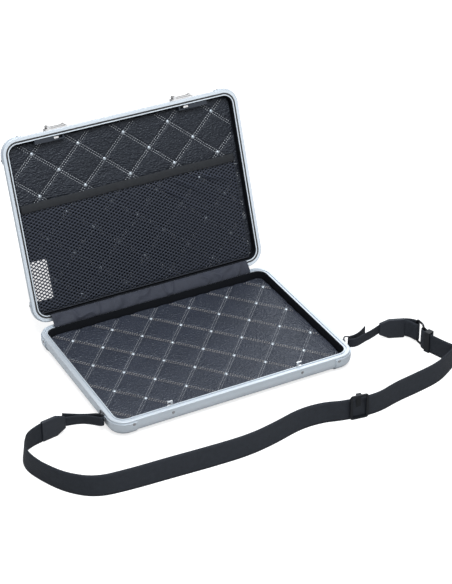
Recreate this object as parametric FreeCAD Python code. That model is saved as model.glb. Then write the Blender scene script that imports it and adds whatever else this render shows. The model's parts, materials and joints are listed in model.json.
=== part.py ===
import FreeCAD, Part
import math
import os

# Laptop hard case: a metal framed tray and lid, both lined with quilted pads, joined by a rear hinge.
# The lid stands open. Two lever latches sit on its front edge, and a webbing shoulder strap lies on
# the floor in front. Millimetres. X is to the right, Y to the back, Z up.
# The origin is the centre of the tray panel's underside.

# Overall sizes
case_width = 388.0
case_depth = 281.5
tray_height = 22.8
lid_height = 16.0
corner_radius = 24.0
edge_radius = 12.3
lid_open_angle = 108.8

# Frame section
wall = 2.2
rim_width = 9.0
rim_thickness = 2.6
rim_round = 0.8
outer_land = 4.8
groove_width = 2.7
groove_depth = 1.5
lip_depth = 5.0
panel_seat = 6.0
panel_thickness = 2.0
rim_gap = 0.3

# Clearances
slip = 0.05
snug = 0.2
clear = 0.3
overrun = 1.0

# Corner guards, which are also the feet
guard_thickness = 1.5
guard_drop = 3.2
guard_round = 0.4
guard_reach = 34.0
guard_foot = 18.0
guard_rivet_inset = 5.0
lid_rivet_tilt = 10.5

# Linings and quilted pads
liner_thickness = 1.0
liner_drop = 1.0
floor_lining = 0.8
pad_inset = 11.5
pad_corner = 12.5
pad_round = 2.0
tray_pad_drop = 12.0
lid_pad_depth = 8.0
quilt_long = 74.4
quilt_short = 64.7
channel_width = 9.0
channel_depth = 1.5
shoulder_share = 0.4
shoulder_dip_share = 0.35
pad_round_share = 0.6
stud_radius = 3.3
stud_height = 2.1
tray_stud_x = 9.5
tray_stud_y = -8.5
lid_stud_x = 2.0
lid_stud_y = -46.0

# Net pocket in the lid
net_left_inset = 13.0
net_right_inset = 20.0
net_front = -27.0
net_rear_inset = 18.7
net_thickness = 0.8
net_hem = 2.6
net_pitch = 15.0
net_strand = 4.0
elastic_width = 12.5
elastic_thickness = 1.2
card_width = 22.2
card_length = 61.0
card_thickness = 0.3
card_front = 47.5

# Rear hinge
hinge_back = 3.0
hinge_rise = 1.3
knuckle_radius = 2.4
hinge_pin_radius = 1.2
leaf_thickness = 1.0
hinge_length = 300.0
knuckle_count = 20
leaf_height = 9.0
leaf_wrap = 6.5
leaf_rivet_count = 6
leaf_rivet_angle = 40.0

# Gusset of cloth over the hinge
gusset_half_length = 165.0
gusset_thickness = 0.8
gusset_grip = 3.5
gusset_rise = 2.4
gusset_hold = 2.5

# Rivets
rivet_head = 2.4
rivet_shank = 1.5
rivet_rise = 0.9
small_head = 1.7
small_shank = 1.0
small_rise = 0.6
rivet_tail = 0.8

# Latches
latch_x = 104.0
base_half_length = 17.5
base_low = 1.2
base_high = 12.2
base_proud = 2.4
boss_offset = -12.5
boss_radius = 2.2
latch_pin_radius = 1.0
ear_thickness = 1.4
lever_reach = 14.0
lever_thickness = 1.4
lever_curl = 1.5
lever_curl_run = 4.5
housing_length = 47.0
housing_nose = 9.0
housing_depth = 6.0
housing_low = 0.5
pocket_half_length = 7.0
pocket_depth = 6.0
pocket_reach = 4.2
catch_low = 1.6
catch_bar_height = 2.8
catch_nose_height = 1.6
catch_reach = 3.0
catch_bar_length = 26.0
catch_travel = 5.0
striker_thickness = 2.0
striker_post = 3.0
striker_head = 8.0
striker_head_height = 1.8
striker_drop = 9.8
striker_rivet_drop = 6.9

# Strap eyes on the tray's sides
lug_y = -99.0
lug_drop = 7.0
lug_thickness = 1.2
lug_half_length = 7.0
lug_half_height = 4.6
lug_barrel_radius = 2.6
lug_barrel_half_height = 4.0
ring_wire = 1.1
ring_reach = 10.0
ring_half_height = 9.3
ring_bend = 3.0
left_ring_heading = 255.0
right_ring_heading = -30.0

# Shoulder strap
webbing_width = 32.0
webbing_thickness = 1.6
narrow_width = 15.0
narrow_thickness = 1.4
narrow_rise = 9.5
connector_height = 33.0
connector_thickness = 5.2
connector_straight_share = 0.62
connector_nose_height = 19.0
fitting_lift = 3.3
adjuster_length = 28.0
adjuster_height = 39.5
adjuster_bar = 3.6
adjuster_plate = 2.4
adjuster_corner = 4.5
adjuster_x = 131.0
adjuster_y = -253.3
adjuster_turn = -8.1
keeper_length = 9.0
keeper_width = 10.4
keeper_wall = 1.2
keeper_x = 309.4
keeper_y = -157.2
keeper_turn = 109.0
eye_wire = 1.7
eye_x = 308.6
eye_front = -143.6
eye_back = -125.4
eye_bend = 5.0

# Free route of the webbing on the floor, from the left connector to its tail in the keeper
webbing_route = [
    (-285.0, -95.0), (-303.7, -98.2), (-322.0, -112.0), (-331.0, -142.0), (-320.0, -178.0),
    (-301.0, -216.0), (-270.0, -245.0), (-225.0, -251.5), (-165.0, -254.5), (-100.0, -258.5),
    (-45.0, -259.5), (0.0, -252.0), (45.0, -239.5), (82.0, -240.8), (108.0, -250.0), (160.0, -257.4),
    (200.0, -246.5), (240.0, -241.0), (280.0, -233.0), (308.0, -217.0), (326.5, -204.0),
    (317.5, -188.5), (311.5, -170.0), (305.3, -152.0), (305.5, -140.5), (312.3, -139.3),
    (311.0, -152.0), (313.0, -162.5)]
short_route = [
    (298.5, -106.9), (305.6, -111.0), (312.2, -119.6), (312.2, -129.3), (305.0, -129.5),
    (303.0, -117.6), (297.1, -110.3)]
left_narrow_route = [
    (-247.0, -88.5), (-227.0, -91.9), (-212.0, -103.0), (-204.6, -111.4), (-198.2, -113.1),
    (-197.0, -106.9), (-202.2, -100.9), (-216.0, -95.5), (-231.0, -87.5), (-246.4, -77.2)]
right_narrow_route = [
    (262.0, -94.0), (246.0, -100.4), (231.0, -103.6), (213.3, -109.8), (201.6, -104.8),
    (205.3, -98.7), (215.3, -99.9), (229.5, -95.0), (241.8, -86.5)]

# Heights that follow from the sizes above
frame_bottom = -wall
floor_z = frame_bottom - guard_thickness
rim_z = frame_bottom + tray_height
lid_rim_z = rim_z + rim_gap
lid_top_z = lid_rim_z + lid_height
hinge_y = case_depth / 2 + hinge_back
hinge_z = rim_z + hinge_rise
half_width = case_width / 2
half_depth = case_depth / 2
lid_floor_z = lid_top_z - wall - panel_thickness - floor_lining
tray_floor_z = panel_thickness + floor_lining
tray_pad_top = rim_z - tray_pad_drop
lid_pad_face = lid_rim_z + lid_pad_depth
big = case_width + case_depth

X = FreeCAD.Vector(1, 0, 0)
Y = FreeCAD.Vector(0, 1, 0)
Z = FreeCAD.Vector(0, 0, 1)
ORIGIN = FreeCAD.Vector(0, 0, 0)
nodes = {}


def point(x, y, z=0):
    return FreeCAD.Vector(x, y, z)


def turned(vector, degrees):
    """A direction in the XY plane, turned about Z."""
    return FreeCAD.Rotation(Z, degrees).multVec(vector)


def joined(solids):
    """One solid from several that touch or overlap."""
    return solids[0].fuse(solids[1:]).removeSplitter() if len(solids) > 1 else solids[0]


def box(x0, x1, y0, y1, z0, z1):
    return Part.makeBox(x1 - x0, y1 - y0, z1 - z0, point(x0, y0, z0))


def outline(corners):
    """A closed flat wire through corners (x, y, radius), each rounded by its radius."""
    edges, ends = [], []
    count = len(corners)
    for i, (x, y, radius) in enumerate(corners):
        here = point(x, y)
        before = point(*corners[i - 1][:2]) - here
        after = point(*corners[(i + 1) % count][:2]) - here
        if radius == 0:
            ends.append((here, here, None))
            continue
        half = before.getAngle(after) / 2
        before.normalize()
        after.normalize()
        reach = radius / math.tan(half)
        middle = before + after
        middle.normalize()
        top = here + middle * (radius / math.sin(half) - radius)
        ends.append((here + before * reach, here + after * reach, top))
    for i, (start, end, top) in enumerate(ends):
        if top is not None:
            edges.append(Part.Arc(start, top, end).toShape())
        following = ends[(i + 1) % count][0]
        if (following - end).Length > slip / big:
            edges.append(Part.LineSegment(end, following).toShape())
    return Part.Wire(edges)


def plate(inset, radius, z0, z1):
    """A rounded plate as large as the case less an inset all round."""
    x, y = half_width - inset, half_depth - inset
    wire = outline([(-x, -y, radius), (x, -y, radius), (x, y, radius), (-x, y, radius)])
    wire.translate(point(0, 0, z0))
    return Part.Face(wire).extrude(point(0, 0, z1 - z0))


def section(corners, z, up):
    """A face at the left side, from corners (inset, height, radius) measured from height z."""
    face = Part.Face(outline([(d, h * up, r) for d, h, r in corners]))
    face.rotate(ORIGIN, X, 90)
    face.translate(point(-half_width, corner_radius - half_depth, z))
    return face


def corner_run(face, side_run, front_run):
    """The section carried round the front left corner, with straight runs past both ends."""
    centre = point(corner_radius - half_width, corner_radius - half_depth)
    turned_face = face.copy()
    turned_face.rotate(centre, Z, 90)
    return [face.extrude(point(0, side_run)), face.revolve(centre, Z, 90),
            turned_face.extrude(point(front_run, 0))]


def four_corners(solid):
    """The solid, made for the front left corner, and its copies at the other three."""
    right = solid.mirror(ORIGIN, X)
    rear = [one.copy() for one in (solid, right)]
    for one in rear:
        one.rotate(ORIGIN, Z, 180)
    return {"front_left": solid, "front_right": right, "rear_right": rear[0], "rear_left": rear[1]}


def ring(face):
    """The section carried all round the case."""
    left, corner, front = corner_run(face, case_depth - 2 * corner_radius,
                                     case_width - 2 * corner_radius)
    opposite = [left.copy(), front.copy()]
    for one in opposite:
        one.rotate(ORIGIN, Z, 180)
    return joined([left, front] + opposite + list(four_corners(corner).values()))


def frame_section(height, z, up):
    """The extruded frame: rim with a groove, outer wall rounded at its edge, and a lip for the panel."""
    seat = edge_radius + panel_seat
    groove_end = outer_land + groove_width
    return section([
        (0, height, rim_round), (0, 0, edge_radius), (seat, 0, 0), (seat, wall, 0),
        (wall, wall, edge_radius - wall), (wall, height - rim_thickness, 0),
        (groove_end, height - rim_thickness, 0), (groove_end, height - lip_depth, 0),
        (rim_width, height - lip_depth, 0), (rim_width, height, 0), (groove_end, height, 0),
        (groove_end, height - groove_depth, 0), (outer_land, height - groove_depth, 0),
        (outer_land, height, 0)], z, up)


def guard_section(height, z, up):
    """A shell over the frame's outer side, from below its rim to under its edge."""
    top = height - guard_drop
    return section([
        (-guard_thickness, top, guard_round), (0, top, 0), (0, 0, edge_radius),
        (guard_foot, 0, 0), (guard_foot, -guard_thickness, guard_round),
        (-guard_thickness, -guard_thickness, edge_radius + guard_thickness)], z, up)


def liner(z_floor, z_inner, z_rim):
    """A thin lining: a wall inside the rim and a floor under the pad."""
    radius = corner_radius - rim_width
    low, high = min(z_floor, z_rim), max(z_floor, z_rim)
    shell = plate(rim_width, radius, low, high)
    hollow = plate(rim_width + liner_thickness, radius - liner_thickness,
                   min(z_inner, z_rim + math.copysign(overrun, z_rim - z_floor)),
                   max(z_inner, z_rim + math.copysign(overrun, z_rim - z_floor)))
    return shell.cut(hollow)


def rivet(spot, direction, grip, head, shank, rise):
    """A domed rivet: its head outside the spot and its shank driven in by the grip."""
    crown = (head * head + rise * rise) / (2 * rise)
    slope = math.asin(head / crown) / 2
    middle = point(crown * math.sin(slope), 0, crown * math.cos(slope) - crown + rise)
    dome = Part.Arc(point(0, 0, rise), middle, point(head, 0, 0)).toShape()
    side = Part.makePolygon([point(head, 0), point(shank, 0), point(shank, 0, -grip),
                             point(0, 0, -grip), point(0, 0, rise)])
    body = Part.Face(Part.Wire([dome] + side.Edges)).revolve(ORIGIN, Z, 360)
    body.Placement = FreeCAD.Placement(spot, FreeCAD.Rotation(Z, direction))
    return body


def drill(spot, direction, grip, shank):
    """The hole for a rivet, a little wider than its shank."""
    start = spot + direction * overrun
    return Part.makeCylinder(shank + slip, grip + 2 * overrun, start, direction * -1)


def opened(solid):
    """A lid piece, made as if shut, turned to the open lid."""
    turned_solid = solid.copy()
    turned_solid.rotate(point(0, hinge_y, hinge_z), X, -lid_open_angle)
    return turned_solid


def stud_places(x0, y0, step_x, step_y, margin):
    """The crossings of a diamond lattice that lie inside the pad by a margin."""
    reach_x, reach_y = half_width - pad_inset - margin, half_depth - pad_inset - margin
    columns, rows = int(big / step_x) + 1, int(big / step_y) + 1
    places = []
    for i in range(-2 * columns, 2 * columns):
        for j in range(-2 * rows, 2 * rows):
            x, y = x0 + i * step_x / 2, y0 + j * step_y / 2
            if (i + j) % 2 == 0 and abs(x) < reach_x and abs(y) < reach_y:
                places.append((x, y))
    return places


def quilted_pad(z_back, z_face, x0, y0, step_x, step_y):
    """A pad with a rounded edge, whose face is drawn in along the lattice of stitched channels."""
    outwards = math.copysign(1, z_face - z_back)
    pad = plate(pad_inset, pad_corner, min(z_back, z_face), max(z_back, z_face))
    rounded = [edge for edge in pad.Edges
               if abs(edge.BoundBox.ZMin - z_face) + abs(edge.BoundBox.ZMax - z_face) < slip]
    pad = pad.makeFillet(min(pad_round, abs(z_face - z_back) * pad_round_share), rounded)
    half = channel_width / 2
    tilt = math.atan2(step_y, step_x)
    spacing = step_x * math.sin(tilt)
    count = int(big / spacing) + 1
    inner, dip = half * shoulder_share, -channel_depth * shoulder_dip_share
    shoulder = Part.Arc(point(-half, 0), point(-inner, 0, dip), point(0, 0, -channel_depth)).toShape()
    other = Part.Arc(point(0, 0, -channel_depth), point(inner, 0, dip), point(half, 0)).toShape()
    cover = Part.makePolygon([point(half, 0), point(half, 0, overrun), point(-half, 0, overrun),
                              point(-half, 0)])
    groove_face = Part.Face(Part.Wire([shoulder, other] + cover.Edges))
    tools = []
    for sign in (-1, 1):
        for i in range(-count, count + 1):
            groove = groove_face.extrude(point(0, big))
            groove.translate(point(i * spacing, -big / 2))
            groove.rotate(ORIGIN, Z, sign * math.degrees(tilt) - 90)
            if outwards < 0:
                groove = groove.mirror(ORIGIN, Z)
            groove.translate(point(x0, y0, z_face))
            if groove.BoundBox.intersect(pad.BoundBox) and groove.distToShape(pad)[0] < slip:
                tools.append(groove)
    for x, y in stud_places(x0, y0, step_x, step_y, stud_radius * 2):
        tools.append(Part.makeCylinder(stud_radius + snug, channel_depth + overrun,
                                       point(x, y, z_face - outwards * channel_depth),
                                       Z * outwards))
    return pad.cut(tools)


def studs(z_face, outwards, x0, y0, step_x, step_y):
    """Domed studs that hold the quilting down, one at each crossing."""
    seat = z_face - outwards * channel_depth
    return [rivet(point(x, y, seat), Z * outwards, channel_depth / 2, stud_radius,
                  small_shank, stud_height)
            for x, y in stud_places(x0, y0, step_x, step_y, stud_radius * 2)]


def stud_holes(z_face, outwards, x0, y0, step_x, step_y):
    seat = z_face - outwards * channel_depth
    return [drill(point(x, y, seat), Z * outwards, channel_depth / 2 - overrun, small_shank)
            for x, y in stud_places(x0, y0, step_x, step_y, stud_radius * 2)]


# Rivets that hold the corner guards, two to a corner
guard_grip = guard_thickness + wall + rivet_tail
guard_rivet_drop = guard_drop + rivet_head + snug


def guard_rivet_spots(z, tilt):
    """Rivet places and directions, on the guards' flat or, tilted, on their round edge above it."""
    along = guard_reach - guard_rivet_inset
    lean = math.radians(tilt)
    radius = edge_radius + guard_thickness
    out = radius * math.cos(lean) - edge_radius
    z += radius * math.sin(lean)
    spots = []
    for side in (-1, 1):
        for end in (-1, 1):
            front = point(side * (half_width - along), end * (half_depth + out), z)
            flank = point(side * (half_width + out), end * (half_depth - along), z)
            spots += [(front, Y * (end * math.cos(lean)) + Z * math.sin(lean)),
                      (flank, X * (side * math.cos(lean)) + Z * math.sin(lean))]
    return spots


def guards(section_face, spots, prefix, finish):
    """Four corner guards with their rivet holes."""
    run = guard_reach - corner_radius
    face = section_face.copy()
    side, corner, front = corner_run(face, run, run)
    holes = [drill(spot, direction, guard_grip, rivet_shank) for spot, direction in spots]
    for place, solid in four_corners(joined([side, corner, front])).items():
        nodes["%s_guard_%s" % (prefix, place)] = finish(solid.cut(holes))


# Tray frame, panel, guards and lining
tray_spots = guard_rivet_spots(rim_z - guard_rivet_drop, 0)
tray_holes = [drill(spot, direction, guard_grip, rivet_shank) for spot, direction in tray_spots]
guards(guard_section(tray_height, frame_bottom, 1), tray_spots, "tray", lambda solid: solid)
nodes["tray_guard_rivets"] = Part.makeCompound(
    [rivet(spot, direction, guard_grip, rivet_head, rivet_shank, rivet_rise)
     for spot, direction in tray_spots])
nodes["tray_panel"] = plate(edge_radius + snug, corner_radius - edge_radius - snug, 0, panel_thickness)

# Strikers on the tray's front rim, each held by one long rivet from outside
striker_y = rim_width + liner_thickness - half_depth
striker_holes = []
striker_rivets = []
for name, side in (("left", -1), ("right", 1)):
    centre = side * latch_x
    post_start = centre - side * (striker_post / 2 - striker_head / 2)
    head_bottom = lid_rim_z + catch_low + catch_nose_height + clear
    head_x = sorted((centre - side * striker_head / 2, centre + side * striker_head / 2))
    post_x = sorted((centre - side * (striker_head / 2 - striker_post), centre - side * striker_head / 2))
    foot = box(head_x[0], head_x[1], striker_y, striker_y + striker_thickness,
               rim_z - striker_drop, rim_z - liner_drop)
    post = box(post_x[0], post_x[1], striker_y, striker_y + striker_thickness,
               rim_z - striker_drop, head_bottom + striker_head_height)
    head = box(head_x[0], head_x[1], striker_y, striker_y + striker_thickness,
               head_bottom, head_bottom + striker_head_height)
    spot = point(centre, -half_depth, rim_z - striker_rivet_drop)
    grip = striker_y + striker_thickness + half_depth + rivet_tail
    striker_holes.append(drill(spot, Y * -1, grip, rivet_shank))
    striker_rivets.append(rivet(spot, Y * -1, grip, rivet_head, rivet_shank, rivet_rise))
    nodes["striker_%s" % name] = joined([foot, post, head]).cut(striker_holes[-1])
nodes["striker_rivets"] = Part.makeCompound(striker_rivets)

tray_lattice = (tray_stud_x, tray_stud_y, quilt_short, quilt_long)
lid_lattice = (lid_stud_x, lid_stud_y, quilt_long, quilt_short)
nodes["tray_liner"] = liner(panel_thickness, tray_floor_z, rim_z - liner_drop).cut(striker_holes)
nodes["tray_pad"] = quilted_pad(tray_floor_z, tray_pad_top, *tray_lattice).cut(
    stud_holes(tray_pad_top, 1, *tray_lattice))
nodes["tray_studs"] = Part.makeCompound(studs(tray_pad_top, 1, *tray_lattice))

# Strap lugs and their swinging rings on the tray's sides
lug_z = rim_z - lug_drop
pivot_x = half_width + lug_thickness + lug_barrel_radius
lug_holes = []
lug_rivets = []
for name, side, heading in (("left", -1, left_ring_heading), ("right", 1, right_ring_heading)):
    plate_x = sorted((side * half_width, side * (half_width + lug_thickness)))
    back = box(plate_x[0], plate_x[1], lug_y - lug_half_length, lug_y + lug_half_length,
               lug_z - lug_half_height, lug_z + lug_half_height)
    pivot = point(side * pivot_x, lug_y, lug_z)
    barrel_low = pivot - Z * lug_barrel_half_height
    barrel = Part.makeCylinder(lug_barrel_radius, 2 * lug_barrel_half_height, barrel_low)
    web_x = sorted((side * half_width, side * pivot_x))
    web = box(web_x[0], web_x[1], lug_y - lug_barrel_radius, lug_y + lug_barrel_radius,
              lug_z - lug_barrel_half_height, lug_z + lug_barrel_half_height)
    bore = Part.makeCylinder(ring_wire + slip, 2 * lug_barrel_half_height + 2 * overrun,
                             barrel_low - Z * overrun)
    along = lug_half_length - rivet_head
    spots = [point(side * (half_width + lug_thickness), lug_y + end * along, lug_z) for end in (-1, 1)]
    grip = lug_thickness + wall + rivet_tail
    holes = [drill(spot, X * side, grip, small_shank) for spot in spots]
    lug_holes += holes
    lug_rivets += [rivet(spot, X * side, grip, small_head, small_shank, small_rise) for spot in spots]
    nodes["strap_lug_%s" % name] = joined([back, web, barrel]).cut([bore] + holes)
    height = ring_half_height
    loop = outline([(0, -height, ring_bend), (ring_reach, -height, ring_bend),
                    (ring_reach, height, ring_bend), (0, height, ring_bend)])
    start = loop.Edges[1].valueAt(loop.Edges[1].FirstParameter)
    direction = loop.Edges[1].tangentAt(loop.Edges[1].FirstParameter)
    wire = Part.Wire(Part.makeCircle(ring_wire, start, direction))
    eye = Part.Wire(loop.Edges[1:] + loop.Edges[:1]).makePipeShell([wire], True, True, 2)
    eye.rotate(ORIGIN, X, 90)
    eye.rotate(ORIGIN, Z, heading)
    eye.translate(pivot)
    nodes["strap_ring_%s" % name] = Part.Solid(eye) if eye.ShapeType == "Shell" else eye
nodes["strap_lug_rivets"] = Part.makeCompound(lug_rivets)

# Rear hinge: a flat leaf on the tray, a formed leaf round the lid's edge, and a pin
knuckle_pitch = hinge_length / knuckle_count
leaf_top = hinge_z - knuckle_radius - clear
leaf_y = half_depth + leaf_thickness
web_y = half_depth + hinge_back - knuckle_radius - snug
tray_knuckles, lid_knuckles = [], []
for i in range(knuckle_count):
    x0 = i * knuckle_pitch - hinge_length / 2
    x1 = x0 + knuckle_pitch - clear
    barrel = Part.makeCylinder(knuckle_radius, x1 - x0, point(x0, hinge_y, hinge_z), X)
    if i % 2:
        tray_knuckles += [barrel, box(x0, x1, web_y, hinge_y, leaf_top - overrun, hinge_z)]
    else:
        web_top = hinge_z + knuckle_radius + clear + overrun
        lid_knuckles += [barrel, box(x0, x1, web_y, hinge_y, hinge_z, web_top)]
pin_bore = Part.makeCylinder(hinge_pin_radius + slip, hinge_length + 2 * overrun,
                             point(-hinge_length / 2 - overrun, hinge_y, hinge_z), X)
tray_leaf = joined([box(-hinge_length / 2, hinge_length / 2 - clear, half_depth, leaf_y,
                        leaf_top - leaf_height, leaf_top)] + tray_knuckles)
leaf_pitch = hinge_length / leaf_rivet_count
leaf_places = [(i + 1) * leaf_pitch - (hinge_length + leaf_pitch) / 2 for i in range(leaf_rivet_count)]
leaf_grip = leaf_thickness + wall + rivet_tail
tray_leaf_spots = [point(x, leaf_y, leaf_top - leaf_height / 2) for x in leaf_places]
tray_leaf_holes = [drill(spot, Y, leaf_grip, small_shank) for spot in tray_leaf_spots]
nodes["hinge_tray_leaf"] = tray_leaf.cut([pin_bore] + tray_leaf_holes)
nodes["hinge_tray_rivets"] = Part.makeCompound(
    [rivet(spot, Y, leaf_grip, small_head, small_shank, small_rise) for spot in tray_leaf_spots])
nodes["hinge_pin"] = Part.makeCylinder(hinge_pin_radius, hinge_length,
                                       point(-hinge_length / 2, hinge_y, hinge_z), X)

arc_y, arc_z = half_depth - edge_radius, lid_top_z - edge_radius


def arc_point(radius, degrees):
    return point(0, arc_y + radius * math.cos(math.radians(degrees)),
                 arc_z + radius * math.sin(math.radians(degrees)))


leaf_low = hinge_z + knuckle_radius + clear
outer_radius = edge_radius + leaf_thickness
lid_leaf_face = Part.Face(outline([
    (half_depth, lid_rim_z, 0), (half_depth, lid_top_z, edge_radius), (0, lid_top_z, 0),
    (0, lid_top_z + leaf_thickness, 0), (leaf_y, lid_top_z + leaf_thickness, outer_radius),
    (leaf_y, lid_rim_z, 0)]))
lid_leaf_face.rotate(ORIGIN, X, 90)
lid_leaf_face.rotate(ORIGIN, Z, 90)
lid_leaf_face.translate(X * (-hinge_length / 2))
lid_leaf = lid_leaf_face.extrude(X * (hinge_length - clear)).common(
    box(-hinge_length, hinge_length, half_depth - leaf_wrap, hinge_y, leaf_low, lid_top_z + hinge_back))
lid_leaf = joined([lid_leaf] + lid_knuckles)
leaf_direction = arc_point(edge_radius, leaf_rivet_angle) - arc_point(0, 0)
leaf_direction.normalize()
lid_leaf_spots = [arc_point(outer_radius, leaf_rivet_angle) + X * x for x in leaf_places]
lid_leaf_holes = [drill(spot, leaf_direction, leaf_grip, small_shank) for spot in lid_leaf_spots]
nodes["hinge_lid_leaf"] = opened(lid_leaf.cut([pin_bore] + lid_leaf_holes))
nodes["hinge_lid_rivets"] = opened(Part.makeCompound(
    [rivet(spot, leaf_direction, leaf_grip, small_head, small_shank, small_rise)
     for spot in lid_leaf_spots]))

nodes["tray_frame"] = ring(frame_section(tray_height, frame_bottom, 1)).cut(
    tray_holes + striker_holes + lug_holes + tray_leaf_holes)

# Lid frame, panel, guards, seal and lining, made shut and then opened
lid_spots = guard_rivet_spots(lid_top_z - edge_radius, lid_rivet_tilt)
lid_holes = [drill(spot, direction, guard_grip, rivet_shank) for spot, direction in lid_spots]
guards(guard_section(lid_height, lid_top_z, -1), lid_spots, "lid", opened)
nodes["lid_guard_rivets"] = opened(Part.makeCompound(
    [rivet(spot, direction, guard_grip, rivet_head, rivet_shank, rivet_rise)
     for spot, direction in lid_spots]))
nodes["lid_panel"] = opened(plate(edge_radius + snug, corner_radius - edge_radius - snug,
                                  lid_top_z - wall - panel_thickness, lid_top_z - wall))
seal_section = section([
    (outer_land + slip, lid_height - snug, 0), (outer_land + slip, lid_height - groove_depth, 0),
    (outer_land + groove_width - slip, lid_height - groove_depth, 0),
    (outer_land + groove_width - slip, lid_height - snug, 0)], lid_top_z, -1)
nodes["lid_seal"] = opened(ring(seal_section))

# Latches: a base, lever and pin outside the lid's front, a housing and sliding catch inside
envelope = section([(0, 0, edge_radius), (big / 8, 0, 0), (big / 8, lid_height, 0), (0, lid_height, 0)],
                   lid_top_z, -1)
envelope.rotate(point(corner_radius - half_width, corner_radius - half_depth), Z, 90)
front_body = envelope.extrude(X * (case_width - 2 * corner_radius))
base_face = -half_depth - base_proud
boss_y = base_face - clear - boss_radius
lever_low = lid_rim_z + base_low + ear_thickness + clear
lever_high = lid_rim_z + base_high - ear_thickness - clear
housing_y = rim_width + liner_thickness - half_depth
latch_holes = []
latch_rivets = []
latch_pins = []
pocket_cuts = []
housing_rooms = []
for name, side in (("left", -1), ("right", 1)):
    centre = side * latch_x
    boss_x = centre + boss_offset
    block = box(centre - base_half_length, centre + base_half_length, base_face, arc_y - half_depth,
                lid_rim_z + base_low, lid_rim_z + base_high).cut(front_body)
    block = max(block.Solids, key=lambda solid: -solid.BoundBox.YMin)
    ears = []
    for low in (lid_rim_z + base_low, lid_rim_z + base_high - ear_thickness):
        ears.append(Part.makeCylinder(boss_radius, ear_thickness, point(boss_x, boss_y, low)))
        ears.append(box(boss_x - boss_radius, boss_x + boss_radius, boss_y, base_face + slip, low,
                        low + ear_thickness))
    pin_low = point(boss_x, boss_y, lid_rim_z + base_low)
    pin_length = base_high - base_low
    bore = Part.makeCylinder(latch_pin_radius + slip, pin_length + 2 * overrun, pin_low - Z * overrun)
    middle_z = lid_rim_z + (base_low + base_high) / 2
    spots = [point(centre + end * (base_half_length - small_head), base_face,
                   middle_z - small_head) for end in (-1, 1)]
    grip = base_proud + wall + rivet_tail
    holes = [drill(spot, Y * -1, grip, small_shank) for spot in spots]
    latch_holes += holes
    latch_rivets += [rivet(spot, Y * -1, grip, small_head, small_shank, small_rise) for spot in spots]
    latch_pins.append(Part.makeCylinder(latch_pin_radius, pin_length, pin_low))
    nodes["latch_base_%s" % name] = opened(joined([block] + ears).cut([bore] + holes))
    end_x = centre + lever_reach
    inner_y = base_face - clear
    outer_y = inner_y - lever_thickness
    arm = Part.Face(outline([
        (boss_x, inner_y, 0), (boss_x, outer_y, 0), (end_x - lever_curl_run, outer_y, lever_curl_run),
        (end_x, outer_y - lever_curl, 0), (end_x + lever_thickness / 2, inner_y - lever_curl, 0),
        (end_x - lever_curl_run + lever_thickness, inner_y, lever_curl_run)]))
    arm.translate(Z * lever_low)
    arm = arm.extrude(Z * (lever_high - lever_low))
    boss = Part.makeCylinder(boss_radius, lever_high - lever_low, point(boss_x, boss_y, lever_low))
    nodes["latch_lever_%s" % name] = opened(joined([arm, boss]).cut(bore))
    house_x = sorted((centre - side * housing_nose, centre + side * (housing_length - housing_nose)))
    house_low = lid_rim_z + housing_low
    house = box(house_x[0], house_x[1], housing_y, housing_y + housing_depth, house_low, lid_floor_z)
    housing_rooms.append(box(house_x[0] - clear, house_x[1] + clear, housing_y - overrun,
                             housing_y + housing_depth + clear, house_low, lid_floor_z))
    pocket = box(centre - pocket_half_length, centre + pocket_half_length, housing_y - overrun,
                 housing_y + pocket_reach, house_low - overrun, house_low + pocket_depth)
    liner_notch = box(centre - pocket_half_length, centre + pocket_half_length,
                      housing_y - liner_thickness, housing_y, lid_rim_z, house_low + pocket_depth)
    pocket_cuts.append(liner_notch)
    catch_y = housing_y + pocket_reach - clear - catch_reach
    bar_end = centre + side * (pocket_half_length + catch_bar_length)
    bar_x = sorted((centre + side * (striker_head / 2 + clear), bar_end))
    channel_x = sorted((centre, bar_end + side * (catch_travel + clear)))
    channel = box(channel_x[0], channel_x[1], catch_y - clear, catch_y + catch_reach + clear,
                  lid_rim_z + catch_low - clear, lid_rim_z + catch_low + catch_bar_height + clear)
    bar = box(bar_x[0], bar_x[1], catch_y, catch_y + catch_reach, lid_rim_z + catch_low,
              lid_rim_z + catch_low + catch_bar_height)
    nose_tip = centre - side * (striker_head / 2 - striker_post - clear)
    nose_x = sorted((nose_tip, bar_end))
    nose = box(nose_x[0], nose_x[1], catch_y, catch_y + catch_reach, lid_rim_z + catch_low,
               lid_rim_z + catch_low + catch_nose_height)
    nodes["latch_housing_%s" % name] = opened(house.cut([pocket, channel]))
    nodes["latch_catch_%s" % name] = opened(joined([bar, nose]))
nodes["latch_pins"] = opened(Part.makeCompound(latch_pins))
nodes["latch_rivets"] = opened(Part.makeCompound(latch_rivets))

nodes["lid_frame"] = opened(ring(frame_section(lid_height, lid_top_z, -1)).cut(
    lid_holes + latch_holes + lid_leaf_holes))
nodes["lid_liner"] = opened(liner(lid_floor_z + floor_lining, lid_floor_z, lid_rim_z + liner_drop).cut(
    pocket_cuts))
nodes["lid_pad"] = opened(quilted_pad(lid_floor_z, lid_pad_face, *lid_lattice).cut(
    stud_holes(lid_pad_face, -1, *lid_lattice) + housing_rooms))
nodes["lid_studs"] = opened(Part.makeCompound(studs(lid_pad_face, -1, *lid_lattice)))

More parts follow.
